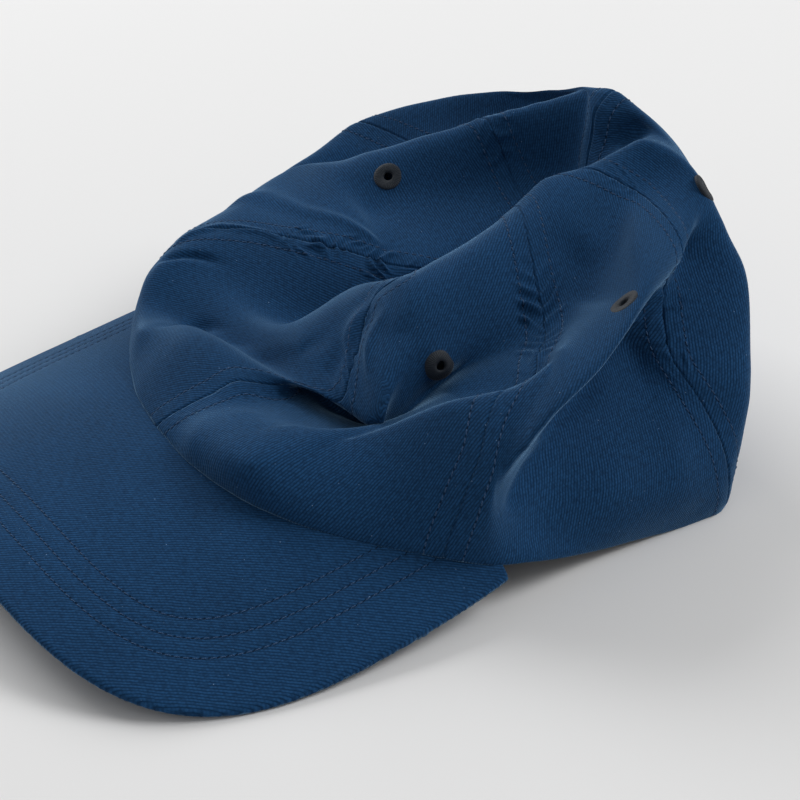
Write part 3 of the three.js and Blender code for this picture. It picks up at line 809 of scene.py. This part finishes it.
shares = 1 - even_shares(peak_outline, PEAK_ALONG_CELLS)
edge, inside = peak_outline(shares), peak_inner_edge(shares)
t = np.sin(np.linspace(0, 1, PEAK_ACROSS_CELLS + 1) * np.pi / 2) ** CELL_CROWDING
plan = inside[:, None] + (edge - inside)[:, None] * t[None, :, None]
fine_edge = peak_outline(np.linspace(0, 1, EDGE_STEPS + 1))
from_edge = np.stack([
    np.linalg.norm(line[:, None] - fine_edge[None], axis=-1).min(axis=1) for line in plan
])
x, y = plan[..., 0], plan[..., 1]
roll = EDGE_ROUND * (1 - np.sqrt(1 - (1 - np.minimum(from_edge / EDGE_ROUND, 1)) ** 2))
edge_drop = roll * (PEAK_THICK / 2 - EDGE_LEFT) / EDGE_ROUND
relief = -edge_drop
for row in PEAK_ROWS:
    relief = relief - CHANNEL_DEPTH * np.exp(-(((from_edge - row) / CHANNEL_WIDTH) ** 2))
waves = [c / PEAK_WAVE_LENGTH + moved for c, moved in zip((x, y, 0 * x), PEAK_WAVE_PLACE)]
relief = relief + PEAK_WAVE * noise(*waves)
top = np.stack([x, y, peak_top(x, y) + relief], axis=-1)
under = np.stack([x, y, peak_top(x, y) - PEAK_THICK + edge_drop], axis=-1)
arch_slope = 2 * PEAK_ARCH / PEAK_HALF_WIDTH**2
arc = np.abs(x) * np.sqrt(1 + (arch_slope * x) ** 2) / 2
arc = np.sign(x) * (arc + np.arcsinh(arch_slope * np.abs(x)) / (2 * arch_slope))
pattern = np.stack([arc, y * math.hypot(1, PEAK_SLOPE)], axis=-1)
normals = grid_normals(top)
row_offset = np.full(from_edge.shape, NO_ROW_NEAR)
row_along = np.zeros(from_edge.shape)
hidden = (np.linalg.norm(plan - inside[:, None], axis=-1) < PEAK_TUCK + HIDDEN_MORE).astype(float)
for row in PEAK_ROWS:
    line, out, hiding = (part[::-1] for part in row_where(
        (-from_edge).T, -row, top.transpose(1, 0, 2), normals.transpose(1, 0, 2), hidden.T[..., None]
    ))
    covered = hiding[:, 0] > 0.5
    too_near = from_edge.max(axis=1)[::-1] < row + ROW_MARGIN
    good = ~(covered | too_near)
    length = lengths_along(line)
    closest = np.abs(from_edge - row) < np.abs(row_offset)
    row_offset = np.where(closest, from_edge - row, row_offset)
    row_along = np.where(closest, (length[::-1] - length[good.argmax()])[:, None], row_along)
    stitch_rows.append((line[good], out[good]))
peak = make_object(
    "twill_peak",
    np.vstack([top.reshape(-1, 3), under.reshape(-1, 3)]),
    shell_faces(np.ones((PEAK_ALONG_CELLS, PEAK_ACROSS_CELLS), bool)),
    uv=np.tile(pattern.reshape(-1, 2), (2, 1)),
    places=np.tile(np.stack([row_offset, row_along, 0 * x], axis=-1).reshape(-1, 3), (2, 1)),
)
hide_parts("peak")
print("peak faces", len(peak.data.polygons), "rows of stitches", len(PEAK_ROWS))

# %% [markdown]
# Topstitching
#
# A lockstitch is a short length of thread that comes up at one needle hole and goes down at the next. Each
# one is a small spindle, thick in the middle and sunk at both ends. All stitches of the cap are one array:
# the same few dozen faces, carried to every station of every row.

# %% Stitches
STITCH_PITCH = 2.3
STITCH_LENGTH = 1.75
STITCH_RADIUS = 0.17
STITCH_SINK = 0.26
STITCH_SLANT = 0.12
STITCH_LIFT = 0.7
SPINDLE_SECTIONS = 7
SPINDLE_SIDES = 6
SPINDLE_TIP = 0.02


def stitches(lines):
    """Points and faces of all stitches: a spindle round each station, its ends bent down into the cloth."""
    s = np.linspace(-1, 1, SPINDLE_SECTIONS)
    turn = np.arange(SPINDLE_SIDES) / SPINDLE_SIDES * 2 * np.pi
    thick = STITCH_RADIUS * np.sqrt(np.maximum(1 - s**4, SPINDLE_TIP))
    lift = STITCH_RADIUS * STITCH_LIFT - STITCH_SINK * s**2
    all_points = []
    for line, out in lines:
        length = lengths_along(line)
        at = np.arange(STITCH_PITCH / 2, length[-1] - STITCH_PITCH / 2, STITCH_PITCH)
        read = [np.stack([np.interp(at + d, length, line[:, c]) for c in range(3)], -1) for d in (-1, 0, 1)]
        up = unit(np.stack([np.interp(at, length, out[:, c]) for c in range(3)], -1))
        along = unit(read[2] - read[0])
        beside = np.cross(up, along)
        along = along + STITCH_SLANT * beside
        points = (
            read[1][:, None, None]
            + along[:, None, None] * (s * STITCH_LENGTH / 2)[None, :, None, None]
            + beside[:, None, None] * (thick[:, None] * np.cos(turn))[None, :, :, None]
            + up[:, None, None] * (lift[:, None] + thick[:, None] * np.sin(turn))[None, :, :, None]
        )
        all_points.append(points.reshape(-1, 3))
    points = np.vstack(all_points)
    total = len(points) // (SPINDLE_SECTIONS * SPINDLE_SIDES)
    number = np.arange(len(points)).reshape(total, SPINDLE_SECTIONS, SPINDLE_SIDES)
    after = np.roll(number, -1, axis=2)
    sides = np.stack([number[:, :-1], after[:, :-1], after[:, 1:], number[:, 1:]], axis=-1).reshape(-1, 4)
    # Each six-sided end is closed with two four-sided faces
    first, last = number[:, 0], number[:, -1]
    caps = [first[:, [0, 5, 4, 3]], first[:, [0, 3, 2, 1]], last[:, [0, 1, 2, 3]], last[:, [0, 3, 4, 5]]]
    return points, np.vstack([sides, *caps]), total


crown_rows, peak_rows = stitch_rows[:-len(PEAK_ROWS)], stitch_rows[-len(PEAK_ROWS):]
stitching = {}
for name, lines in (("topstitching_crown", crown_rows), ("topstitching_peak", peak_rows)):
    points, faces, total = stitches(lines)
    stitching[name] = make_object(name, points, faces)
    print(name, total, "stitches")

# %% [markdown]
# Stitched eyelets
#
# An air hole is overcast with thread, so its ring is made of radial strands side by side. A profile is
# carried round the hole, and its height ripples once for each strand. The ring is laid on the cloth itself:
# each point is first a place on the cloth near the hole, then lifted along the normal. Through the left
# side hole the light beyond shows pale. A small pale disc under that hole stands in for it as painted
# light, and only as much of it is made as the hole shows.

# %% Eyelet rings
EYELET_RADIUS = 4.6
EYELET_HOLE = 1.35
EYELET_RISE = 0.28
EYELET_DROP = 1.35
EYELET_FLATTER = 0.75
STRANDS = 40
STRAND_DEPTH = 0.09
STRAND_MIDDLE = 0.6
SIDE_ROUNDNESS = 0.8
TOP_ROUNDNESS = 0.75
RING_TURNS = STRANDS * 6
RING_SECTION = 28
AROUND_STEP = 0.6
UP_STEP = 0.004
# Size, depth and wall of the pale disc of painted light under the left side hole
PAINTED_LIGHT_DISC_RADIUS = 2.6
PAINTED_LIGHT_DISC_DEPTH = 1.6
PAINTED_LIGHT_DISC_WALL = 0.3
PAINTED_LIGHT_DISC_CELLS = 12


def cloth_frame(around, up):
    """Point and normal of the cloth, two directions in it, and around and up per millimetre of each."""
    points = crown(
        np.array([around, around - AROUND_STEP, around + AROUND_STEP, around, around]),
        np.array([up, up, up, up - UP_STEP, up + UP_STEP]),
    )
    centre, before, after, below, above = points
    change = np.stack([(after - before) / (2 * AROUND_STEP), (above - below) / (2 * UP_STEP)])
    normal = unit(np.cross(*change))
    first = unit(change[0])
    plane = np.stack([first, np.cross(normal, first)])
    return centre, normal, plane, plane @ np.linalg.pinv(change)


def make_eyelet(name, place):
    """A ring of overcast thread round an open hole, lying on the cloth."""
    centre, normal, plane, per_millimetre = cloth_frame(*place)
    turn = np.linspace(0, 2 * np.pi, RING_TURNS, endpoint=False)
    q = np.linspace(0, 2 * np.pi, RING_SECTION, endpoint=False)
    middle = (EYELET_RADIUS + EYELET_HOLE) / 2
    half = (EYELET_RADIUS - EYELET_HOLE) / 2
    round_off = np.sign(np.cos(q)) * np.abs(np.cos(q)) ** SIDE_ROUNDNESS
    flat_off = np.sign(np.sin(q)) * np.abs(np.sin(q)) ** TOP_ROUNDNESS
    strand = STRAND_DEPTH * (np.abs(np.cos(turn * STRANDS / 2)) - STRAND_MIDDLE)
    radius = middle + half * round_off[None, :] + 0.5 * strand[:, None] * round_off[None, :]
    thick = (EYELET_RISE + EYELET_DROP) / 2
    height = (EYELET_RISE - EYELET_DROP) / 2 + (thick + strand[:, None]) * flat_off[None, :]
    offsets = np.stack([radius * np.cos(turn)[:, None], radius * np.sin(turn)[:, None]], axis=-1)
    places = np.array(place) + offsets @ per_millimetre
    sag = (crown(places[..., 0], places[..., 1]) - centre) @ normal * EYELET_FLATTER
    points = centre + offsets @ plane + normal * (sag + height)[..., None]
    number = np.arange(RING_TURNS * RING_SECTION).reshape(RING_TURNS, RING_SECTION)
    next_turn = np.roll(number, -1, axis=0)
    next_q = np.roll(number, -1, axis=1)
    both = np.roll(next_turn, -1, axis=1)
    faces = np.stack([number, next_turn, both, next_q], axis=-1).reshape(-1, 4)
    piece = make_object(f"thread_eyelet_{name}", points.reshape(-1, 3), faces)
    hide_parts(f"eyelet_{name}")
    return piece


def make_painted_light_disc(name, place):
    """Painted light just under a hole, a small pale disc: a square grid drawn in to it, with a thin wall.
    """
    centre, normal, plane, _ = cloth_frame(*place)
    s, t = np.meshgrid(*[np.linspace(-1, 1, PAINTED_LIGHT_DISC_CELLS + 1)] * 2, indexing="ij")
    flat = np.stack([s * np.sqrt(1 - t * t / 2), t * np.sqrt(1 - s * s / 2)], axis=-1) * PAINTED_LIGHT_DISC_RADIUS
    outer = centre + flat @ plane - normal * PAINTED_LIGHT_DISC_DEPTH
    inner = outer - normal * PAINTED_LIGHT_DISC_WALL
    points = np.vstack([outer.reshape(-1, 3), inner.reshape(-1, 3)])
    return make_object(name, points, shell_faces(np.ones((PAINTED_LIGHT_DISC_CELLS, PAINTED_LIGHT_DISC_CELLS), bool)))


eyelets = {name: make_eyelet(name, place) for name, place in EYELETS.items()}
# Painted light: a pale disc under the left side hole for the brightness seen through it
painted_light_disc = make_painted_light_disc("painted_light_behind_side_left", EYELETS["side_left"])
print(len(eyelets), "eyelets of", RING_TURNS * RING_SECTION, "faces and one pale backing")

# %% [markdown]
# A helper for shader nodes
#
# A material is a small drawing of boxes and wires. One function adds a box, sets its switches and joins its
# inputs, and another does sums, so that the drawings below stay short.

# %% Node helpers
def node(tree, kind, inputs=None, **settings):
    """Adds a node; inputs maps a socket's name or number to a value or to another node's output."""
    made = tree.nodes.new(kind)
    for name, value in settings.items():
        setattr(made, name, value)
    for name, value in (inputs or {}).items():
        if isinstance(value, bpy.types.NodeSocket):
            tree.links.new(value, made.inputs[name])
        else:
            made.inputs[name].default_value = value
    return made


def maths(tree, operation, *values):
    """Output of a Math node."""
    return node(tree, "ShaderNodeMath", dict(enumerate(values)), operation=operation).outputs[0]


def ramp(tree, value, low, high, to_low=0.0, to_high=1.0):
    """Value moved smoothly from the range low to high into the range to_low to to_high."""
    inputs = {"Value": value, "From Min": low, "From Max": high, "To Min": to_low, "To Max": to_high}
    return node(tree, "ShaderNodeMapRange", inputs, interpolation_type="SMOOTHSTEP").outputs["Result"]


def noise_texture(tree, place, scale, detail):
    """Output of a Noise Texture, about 0.5 on average."""
    return node(tree, "ShaderNodeTexNoise", {"Vector": place, "Scale": scale, "Detail": detail}).outputs[0]


def new_material(name):
    """A material and its node tree, empty."""
    material = bpy.data.materials.new(name)
    material.use_nodes = True
    material.node_tree.nodes.clear()
    return material, material.node_tree


def group(name, inputs, outputs):
    """An empty node group with named sockets; returns it, what it takes in and what it gives out."""
    tree = bpy.data.node_groups.new(name, "ShaderNodeTree")
    for socket_name, kind, value in inputs:
        socket = tree.interface.new_socket(socket_name, in_out="INPUT", socket_type=kind)
        if value is not None:
            socket.default_value = value
    for socket_name, kind in outputs:
        tree.interface.new_socket(socket_name, in_out="OUTPUT", socket_type=kind)
    return tree, tree.nodes.new("NodeGroupInput").outputs, tree.nodes.new("NodeGroupOutput").inputs


def colour_mix(tree, share, first, second):
    """Output of a colour mix."""
    return node(tree, "ShaderNodeMix", {0: share, 6: first, 7: second}, data_type="RGBA").outputs[2]


# %% [markdown]
# Twill weave
#
# Twill shows fine slanting ribs, here 0.8 mm apart, each built of short yarn floats. The group turns the
# flat pattern so that one axis runs along the ribs, repeats a rounded rib across, and lets the yarns step
# along it. A little noise bends the ribs, because real ones are never ruled lines.

# %% Weave group
RIB_SPACING = 0.8 * MILLIMETRE
RIB_ANGLE = 60.0
RIB_BEND = 1.1
BEND_SCALE = 130.0
RIB_FLATNESS = 2.2
YARN_LENGTH = 1.1 * MILLIMETRE
YARN_STEP = 0.37
YARN_RELIEF = 0.16
FUZZ_SCALE = 1500.0
FUZZ_STRETCH = (0.4, 1.0, 1.0)
FUZZ_RANGE = (0.25, 0.75)
FUZZ_SHADES = (0.35, 1.45)

weave, place, result = group(
    "twill_weave",
    [
        ("Place", "NodeSocketVector", None),
        ("Rib Spacing", "NodeSocketFloat", RIB_SPACING),
        ("Rib Angle", "NodeSocketFloat", RIB_ANGLE),
    ],
    [("Height", "NodeSocketFloat"), ("Shade", "NodeSocketFloat")],
)
angle = maths(weave, "MULTIPLY", place["Rib Angle"], -math.radians(1))
turned = node(
    weave, "ShaderNodeVectorRotate", {"Vector": place["Place"], "Angle": angle}, rotation_type="Z_AXIS"
).outputs[0]
axes = node(weave, "ShaderNodeSeparateXYZ", {0: turned}).outputs
bend = noise_texture(weave, turned, BEND_SCALE, 2.0)
bend = maths(weave, "MULTIPLY_ADD", bend, RIB_BEND, -RIB_BEND / 2)
across = maths(weave, "ADD", maths(weave, "DIVIDE", axes["Y"], place["Rib Spacing"]), bend)
in_rib = maths(weave, "FRACT", across)
slope = maths(weave, "MULTIPLY_ADD", in_rib, 2.0, -1.0)
rib = maths(weave, "SUBTRACT", 1.0, maths(weave, "POWER", maths(weave, "ABSOLUTE", slope), RIB_FLATNESS))
float_step = maths(weave, "MULTIPLY", maths(weave, "FLOOR", across), YARN_STEP)
yarn = maths(weave, "ADD", maths(weave, "DIVIDE", axes["X"], YARN_LENGTH), float_step)
yarn = maths(weave, "COSINE", maths(weave, "MULTIPLY", yarn, 2 * math.pi))
yarn = maths(weave, "MULTIPLY_ADD", yarn, YARN_RELIEF, 1 - YARN_RELIEF)
streak = node(weave, "ShaderNodeVectorMath", {0: turned, 1: FUZZ_STRETCH}, operation="MULTIPLY").outputs[0]
fuzz = noise_texture(weave, streak, FUZZ_SCALE, 3.0)
height = maths(weave, "MULTIPLY", rib, yarn)
weave.links.new(height, result["Height"])
# Shade follows the height: painted highlight on rib and yarn crests, painted shade in the grooves, times
# streaks of random tone
shade = maths(weave, "MULTIPLY", height, ramp(weave, fuzz, *FUZZ_RANGE, *FUZZ_SHADES))
weave.links.new(shade, result["Shade"])
print("weave group nodes:", len(weave.nodes))

# %% [markdown]
# Lint and needle holes
#
# Dark cloth always carries a few pale specks of lint, a fraction of a millimetre across. And each stitch
# leaves a needle hole at its ends; the shade inside it is painted on as a dark dot. Both are masks: the
# first from scattered cells, the second from the distance to a row of stitches and the length along it,
# which the pieces carry as an attribute.

# %% Speck and hole groups
SPECK_SCALE = 190.0
SPECK_CHANCE = (0.7, 1.0)
SPECK_SIZES = (0.0, 0.03)
HOLE_RADIUS = 0.32 * MILLIMETRE
HOLE_LENGTHENING = 0.75
HOLE_FADE = (1.25, 0.5)

lint, place, result = group(
    "lint_specks",
    [("Place", "NodeSocketVector", None), ("Scale", "NodeSocketFloat", SPECK_SCALE)],
    [("Mask", "NodeSocketFloat")],
)
scatter = {"Vector": place["Place"], "Scale": place["Scale"]}
cells = node(lint, "ShaderNodeTexVoronoi", scatter, voronoi_dimensions="2D").outputs
chance = node(lint, "ShaderNodeSeparateColor", {0: cells["Color"]}).outputs
size = ramp(lint, chance["Red"], *SPECK_CHANCE, *SPECK_SIZES)
speck = maths(lint, "LESS_THAN", cells["Distance"], size)
lint.links.new(maths(lint, "MULTIPLY", speck, chance["Green"]), result["Mask"])

holes, place, result = group(
    "needle_holes",
    [
        ("Place", "NodeSocketVector", None),
        ("Pitch", "NodeSocketFloat", STITCH_PITCH * MILLIMETRE),
        ("Radius", "NodeSocketFloat", HOLE_RADIUS),
    ],
    [("Hole", "NodeSocketFloat")],
)
axes = node(holes, "ShaderNodeSeparateXYZ", {0: place["Place"]}).outputs
phase = maths(holes, "ADD", maths(holes, "DIVIDE", axes["Y"], place["Pitch"]), 0.5)
phase = maths(holes, "SUBTRACT", maths(holes, "FRACT", phase), 0.5)
along = maths(holes, "MULTIPLY", maths(holes, "MULTIPLY", phase, place["Pitch"]), HOLE_LENGTHENING)
squares = maths(holes, "ADD", maths(holes, "POWER", along, 2.0), maths(holes, "POWER", axes["X"], 2.0))
reach = maths(holes, "DIVIDE", maths(holes, "POWER", squares, 0.5), place["Radius"])
holes.links.new(ramp(holes, reach, *HOLE_FADE), result["Hole"])
print("speck nodes:", len(lint.nodes), "hole nodes:", len(holes.nodes))

# %% [markdown]
# Navy twill
#
# The cloth is matt, lighter on the ribs than between them, which is painted highlight on the crests and
# painted shade in the grooves, and uneven in tone over centimetres, as piece-dyed cotton is. Sheen on the
# shader stands for the fine fuzz that lightens cotton at a glancing view. The ribs go into the bump as
# well, at their real depth of about a tenth of a millimetre.

# %% Cloth material
# Crest colour with painted highlight, and groove colour with painted shade
RIB_CREST_HIGHLIGHTED = (0.0130, 0.0620, 0.1600, 1.0)
RIB_GROOVE_SHADED = (0.0046, 0.0225, 0.0600, 1.0)
LINT_COLOUR = (0.16, 0.26, 0.42, 1.0)
# Near-black painted shade for the inside of each needle hole
NEEDLE_HOLE_SHADE_COLOUR = (0.002, 0.005, 0.014, 1.0)
SHEEN_TINT = (0.35, 0.65, 1.0, 1.0)
CLOUD_SCALE = 28.0
CLOUD_RANGE = (0.25, 0.75)
CLOUD_TONES = (0.9, 1.1)
NEEDLE_HOLE_SHADE_WEIGHT = 0.7
HOLE_DEPTH = 2.0
ROUGH_BETWEEN_RIBS = 0.97
ROUGH_ON_RIBS = 0.82
RIB_BUMP = 0.2 * MILLIMETRE
PEAK_RIB_ANGLE = 54.0


def cloth_material(name, rib_angle):
    """Navy twill whose ribs stand at an angle to the pattern's width."""
    material, tree = new_material(name)
    flat = node(tree, "ShaderNodeUVMap", uv_map="flat_pattern").outputs[0]
    solid = node(tree, "ShaderNodeTexCoord").outputs["Object"]
    cloth = node(tree, "ShaderNodeGroup", node_tree=weave)
    tree.links.new(flat, cloth.inputs["Place"])
    cloth.inputs["Rib Angle"].default_value = rib_angle
    specks = node(tree, "ShaderNodeGroup", node_tree=lint)
    tree.links.new(flat, specks.inputs["Place"])
    stitch_place = node(tree, "ShaderNodeAttribute", attribute_name="stitch_place").outputs["Vector"]
    needle = node(tree, "ShaderNodeGroup", node_tree=holes)
    tree.links.new(stitch_place, needle.inputs["Place"])
    cloudy = noise_texture(tree, solid, CLOUD_SCALE, 3.0)
    tone = ramp(tree, cloudy, *CLOUD_RANGE, *CLOUD_TONES)
    # Painted highlight on the rib crests and painted shade in the grooves, mixed by the weave's Shade
    colour = colour_mix(tree, cloth.outputs["Shade"], RIB_GROOVE_SHADED, RIB_CREST_HIGHLIGHTED)
    colour = node(tree, "ShaderNodeVectorMath", {0: colour, "Scale": tone}, operation="SCALE").outputs[0]
    colour = colour_mix(tree, specks.outputs["Mask"], colour, LINT_COLOUR)
    # Painted shade: each needle hole is darkened, standing in for the shade inside it; the bump sinks it as
    # well
    painted_hole_shade = maths(tree, "MULTIPLY", needle.outputs["Hole"], NEEDLE_HOLE_SHADE_WEIGHT)
    colour = colour_mix(tree, painted_hole_shade, colour, NEEDLE_HOLE_SHADE_COLOUR)
    rough = ramp(tree, cloth.outputs["Height"], 0.0, 1.0, ROUGH_BETWEEN_RIBS, ROUGH_ON_RIBS)
    sunk = maths(tree, "MULTIPLY", needle.outputs["Hole"], HOLE_DEPTH)
    bumps = maths(tree, "SUBTRACT", cloth.outputs["Height"], sunk)
    bump = node(tree, "ShaderNodeBump", {"Strength": 0.5, "Distance": RIB_BUMP, "Height": bumps})
    shader = node(tree, "ShaderNodeBsdfPrincipled", {
        "Base Color": colour, "Roughness": rough, "Normal": bump.outputs[0],
        "Sheen Weight": 0.5, "Sheen Roughness": 0.3, "Sheen Tint": SHEEN_TINT,
        "Specular IOR Level": 0.08,
    })
    node(tree, "ShaderNodeOutputMaterial", {"Surface": shader.outputs[0]})
    return material


panel_cloth = cloth_material("navy_twill", RIB_ANGLE)
peak_cloth = cloth_material("navy_twill_peak", PEAK_RIB_ANGLE)
for piece in panels.values():
    piece.data.materials.append(panel_cloth)
peak.data.materials.append(peak_cloth)
print("cloth nodes:", len(panel_cloth.node_tree.nodes))

# %% [markdown]
# Thread
#
# The topstitching is a smooth thread in nearly the cloth's colour, and the eyelets are a greyer thread with
# a soft gloss. Thread is two plies twisted together, so both get fine slanting bands. On the eyelets the
# strands are geometry, and the material adds only the twist along each strand.

# %% Thread materials
# Darker tone, lighter tone, roughness and scale of the twist
THREADS = {
    "stitch_thread": [(0.010, 0.040, 0.105, 1.0), (0.030, 0.085, 0.19, 1.0), 0.6, 900.0],
    "eyelet_thread": [(0.004, 0.008, 0.014, 1.0), (0.016, 0.024, 0.036, 1.0), 0.5, 1400.0],
    # Pale painted light for the brightness seen through the left side hole
    "pale_disc_painted_light": [(0.60, 0.61, 0.63, 1.0), (0.82, 0.83, 0.84, 1.0), 0.8, 900.0],
}
TWIST_DISTORTION = 1.5
MOTTLE_COARSER = 6
MOTTLE_RANGE = (0.3, 0.7)
MOTTLE_TONES = (0.6, 1.1)
GROOVE_ROUGHER = 0.12
TWIST_BUMP = 0.08 * MILLIMETRE


def thread_material(name, dark, light, roughness, scale):
    """Twisted thread: fine bands between two tones, rougher in the grooves."""
    material, tree = new_material(name)
    source = node(tree, "ShaderNodeTexCoord").outputs["Object"]
    bands = {"Vector": source, "Scale": scale, "Distortion": TWIST_DISTORTION, "Detail": 2.0}
    bands["Detail Scale"] = 2.0
    twist = node(tree, "ShaderNodeTexWave", bands, bands_direction="DIAGONAL").outputs["Fac"]
    mottle = noise_texture(tree, source, scale / MOTTLE_COARSER, 3.0)
    share = maths(tree, "MULTIPLY", twist, ramp(tree, mottle, *MOTTLE_RANGE, *MOTTLE_TONES))
    bump = node(tree, "ShaderNodeBump", {"Strength": 0.4, "Distance": TWIST_BUMP, "Height": twist})
    shader = node(tree, "ShaderNodeBsdfPrincipled", {
        "Base Color": colour_mix(tree, share, dark, light),
        "Roughness": ramp(tree, twist, 0.0, 1.0, roughness + GROOVE_ROUGHER, roughness),
        "Normal": bump.outputs[0], "Sheen Weight": 0.1, "Specular IOR Level": 0.25,
    })
    node(tree, "ShaderNodeOutputMaterial", {"Surface": shader.outputs[0]})
    return material


threads = {name: thread_material(name, *row) for name, row in THREADS.items()}
for piece in stitching.values():
    piece.data.materials.append(threads["stitch_thread"])
for piece in eyelets.values():
    piece.data.materials.append(threads["eyelet_thread"])
# The pale disc is painted light for the brightness seen through the left side hole
painted_light_disc.data.materials.append(threads["pale_disc_painted_light"])
print("thread materials:", list(threads))

# %% [markdown]
# Table and light
#
# A plain pale table and soft studio light keep attention on the cloth. A large lamp behind the cap on the
# left lights the crests, a weaker one high on the right models the folds, and the sky and a front lamp fill
# in. Large lamps give soft shadows, like those under the rim and under the peak's raised front edge.

# %% Table, lamps and sky
TABLE_HALF = 3.0
TABLE_COLOUR = (0.80, 0.80, 0.80, 1.0)
TABLE_ROUGHNESS = 0.9
SKY_STRENGTH = 0.32
CAP_MIDDLE = (0.0, 80.0, 40.0)
LAMP_DISTANCE = 2.0
# Direction as seen from the camera (right, away, up), side of the lamp in metres, watts
LAMPS = {
    "key_left_behind": [-0.65, 0.75, 0.72, 1.4, 26.0],
    "high_right": [0.95, 0.1, 0.85, 1.0, 20.0],
    "front_fill": [0.0, -1.0, 0.8, 1.6, 2.0],
}

camera_right = np.array([math.cos(azimuth), math.sin(azimuth), 0.0])
camera_away = np.array([-math.sin(azimuth), math.cos(azimuth), 0.0])
upwards = np.array([0.0, 0.0, 1.0])

table_mesh = bpy.data.meshes.new("table")
corners = [(x * TABLE_HALF, y * TABLE_HALF, 0) for x, y in ((-1, -1), (1, -1), (1, 1), (-1, 1))]
table_mesh.from_pydata(corners, [], [(0, 1, 2, 3)])
table = put_in_scene("table", table_mesh)
table_paint = bpy.data.materials.new("pale_table")
table_paint.use_nodes = True
table_shader = table_paint.node_tree.nodes["Principled BSDF"]
table_shader.inputs["Base Color"].default_value = TABLE_COLOUR
table_shader.inputs["Roughness"].default_value = TABLE_ROUGHNESS
table_mesh.materials.append(table_paint)


def add_lamp(name, right, away, up, side, watts):
    """A square area lamp in a direction from the middle of the cap, facing it."""
    direction = unit(right * camera_right + away * camera_away + up * upwards)
    data = bpy.data.lights.new(name, "AREA")
    data.shape = "SQUARE"
    data.size = side
    data.energy = watts
    lamp = put_in_scene(name, data)
    lamp.location = to_model(CAP_MIDDLE) + direction * LAMP_DISTANCE
    lamp.rotation_mode = "QUATERNION"
    lamp.rotation_quaternion = Vector(tuple(-direction)).to_track_quat("-Z", "Y")


for name, row in LAMPS.items():
    add_lamp(name, *row)
world = bpy.data.worlds.new("studio_sky")
world.use_nodes = True
sky = world.node_tree.nodes["Background"]
sky.inputs["Color"].default_value = (1.0, 1.0, 1.0, 1.0)
sky.inputs["Strength"].default_value = SKY_STRENGTH
bpy.context.scene.world = world
bpy.context.scene.view_settings.view_transform = "Standard"
print("lamps:", list(LAMPS))
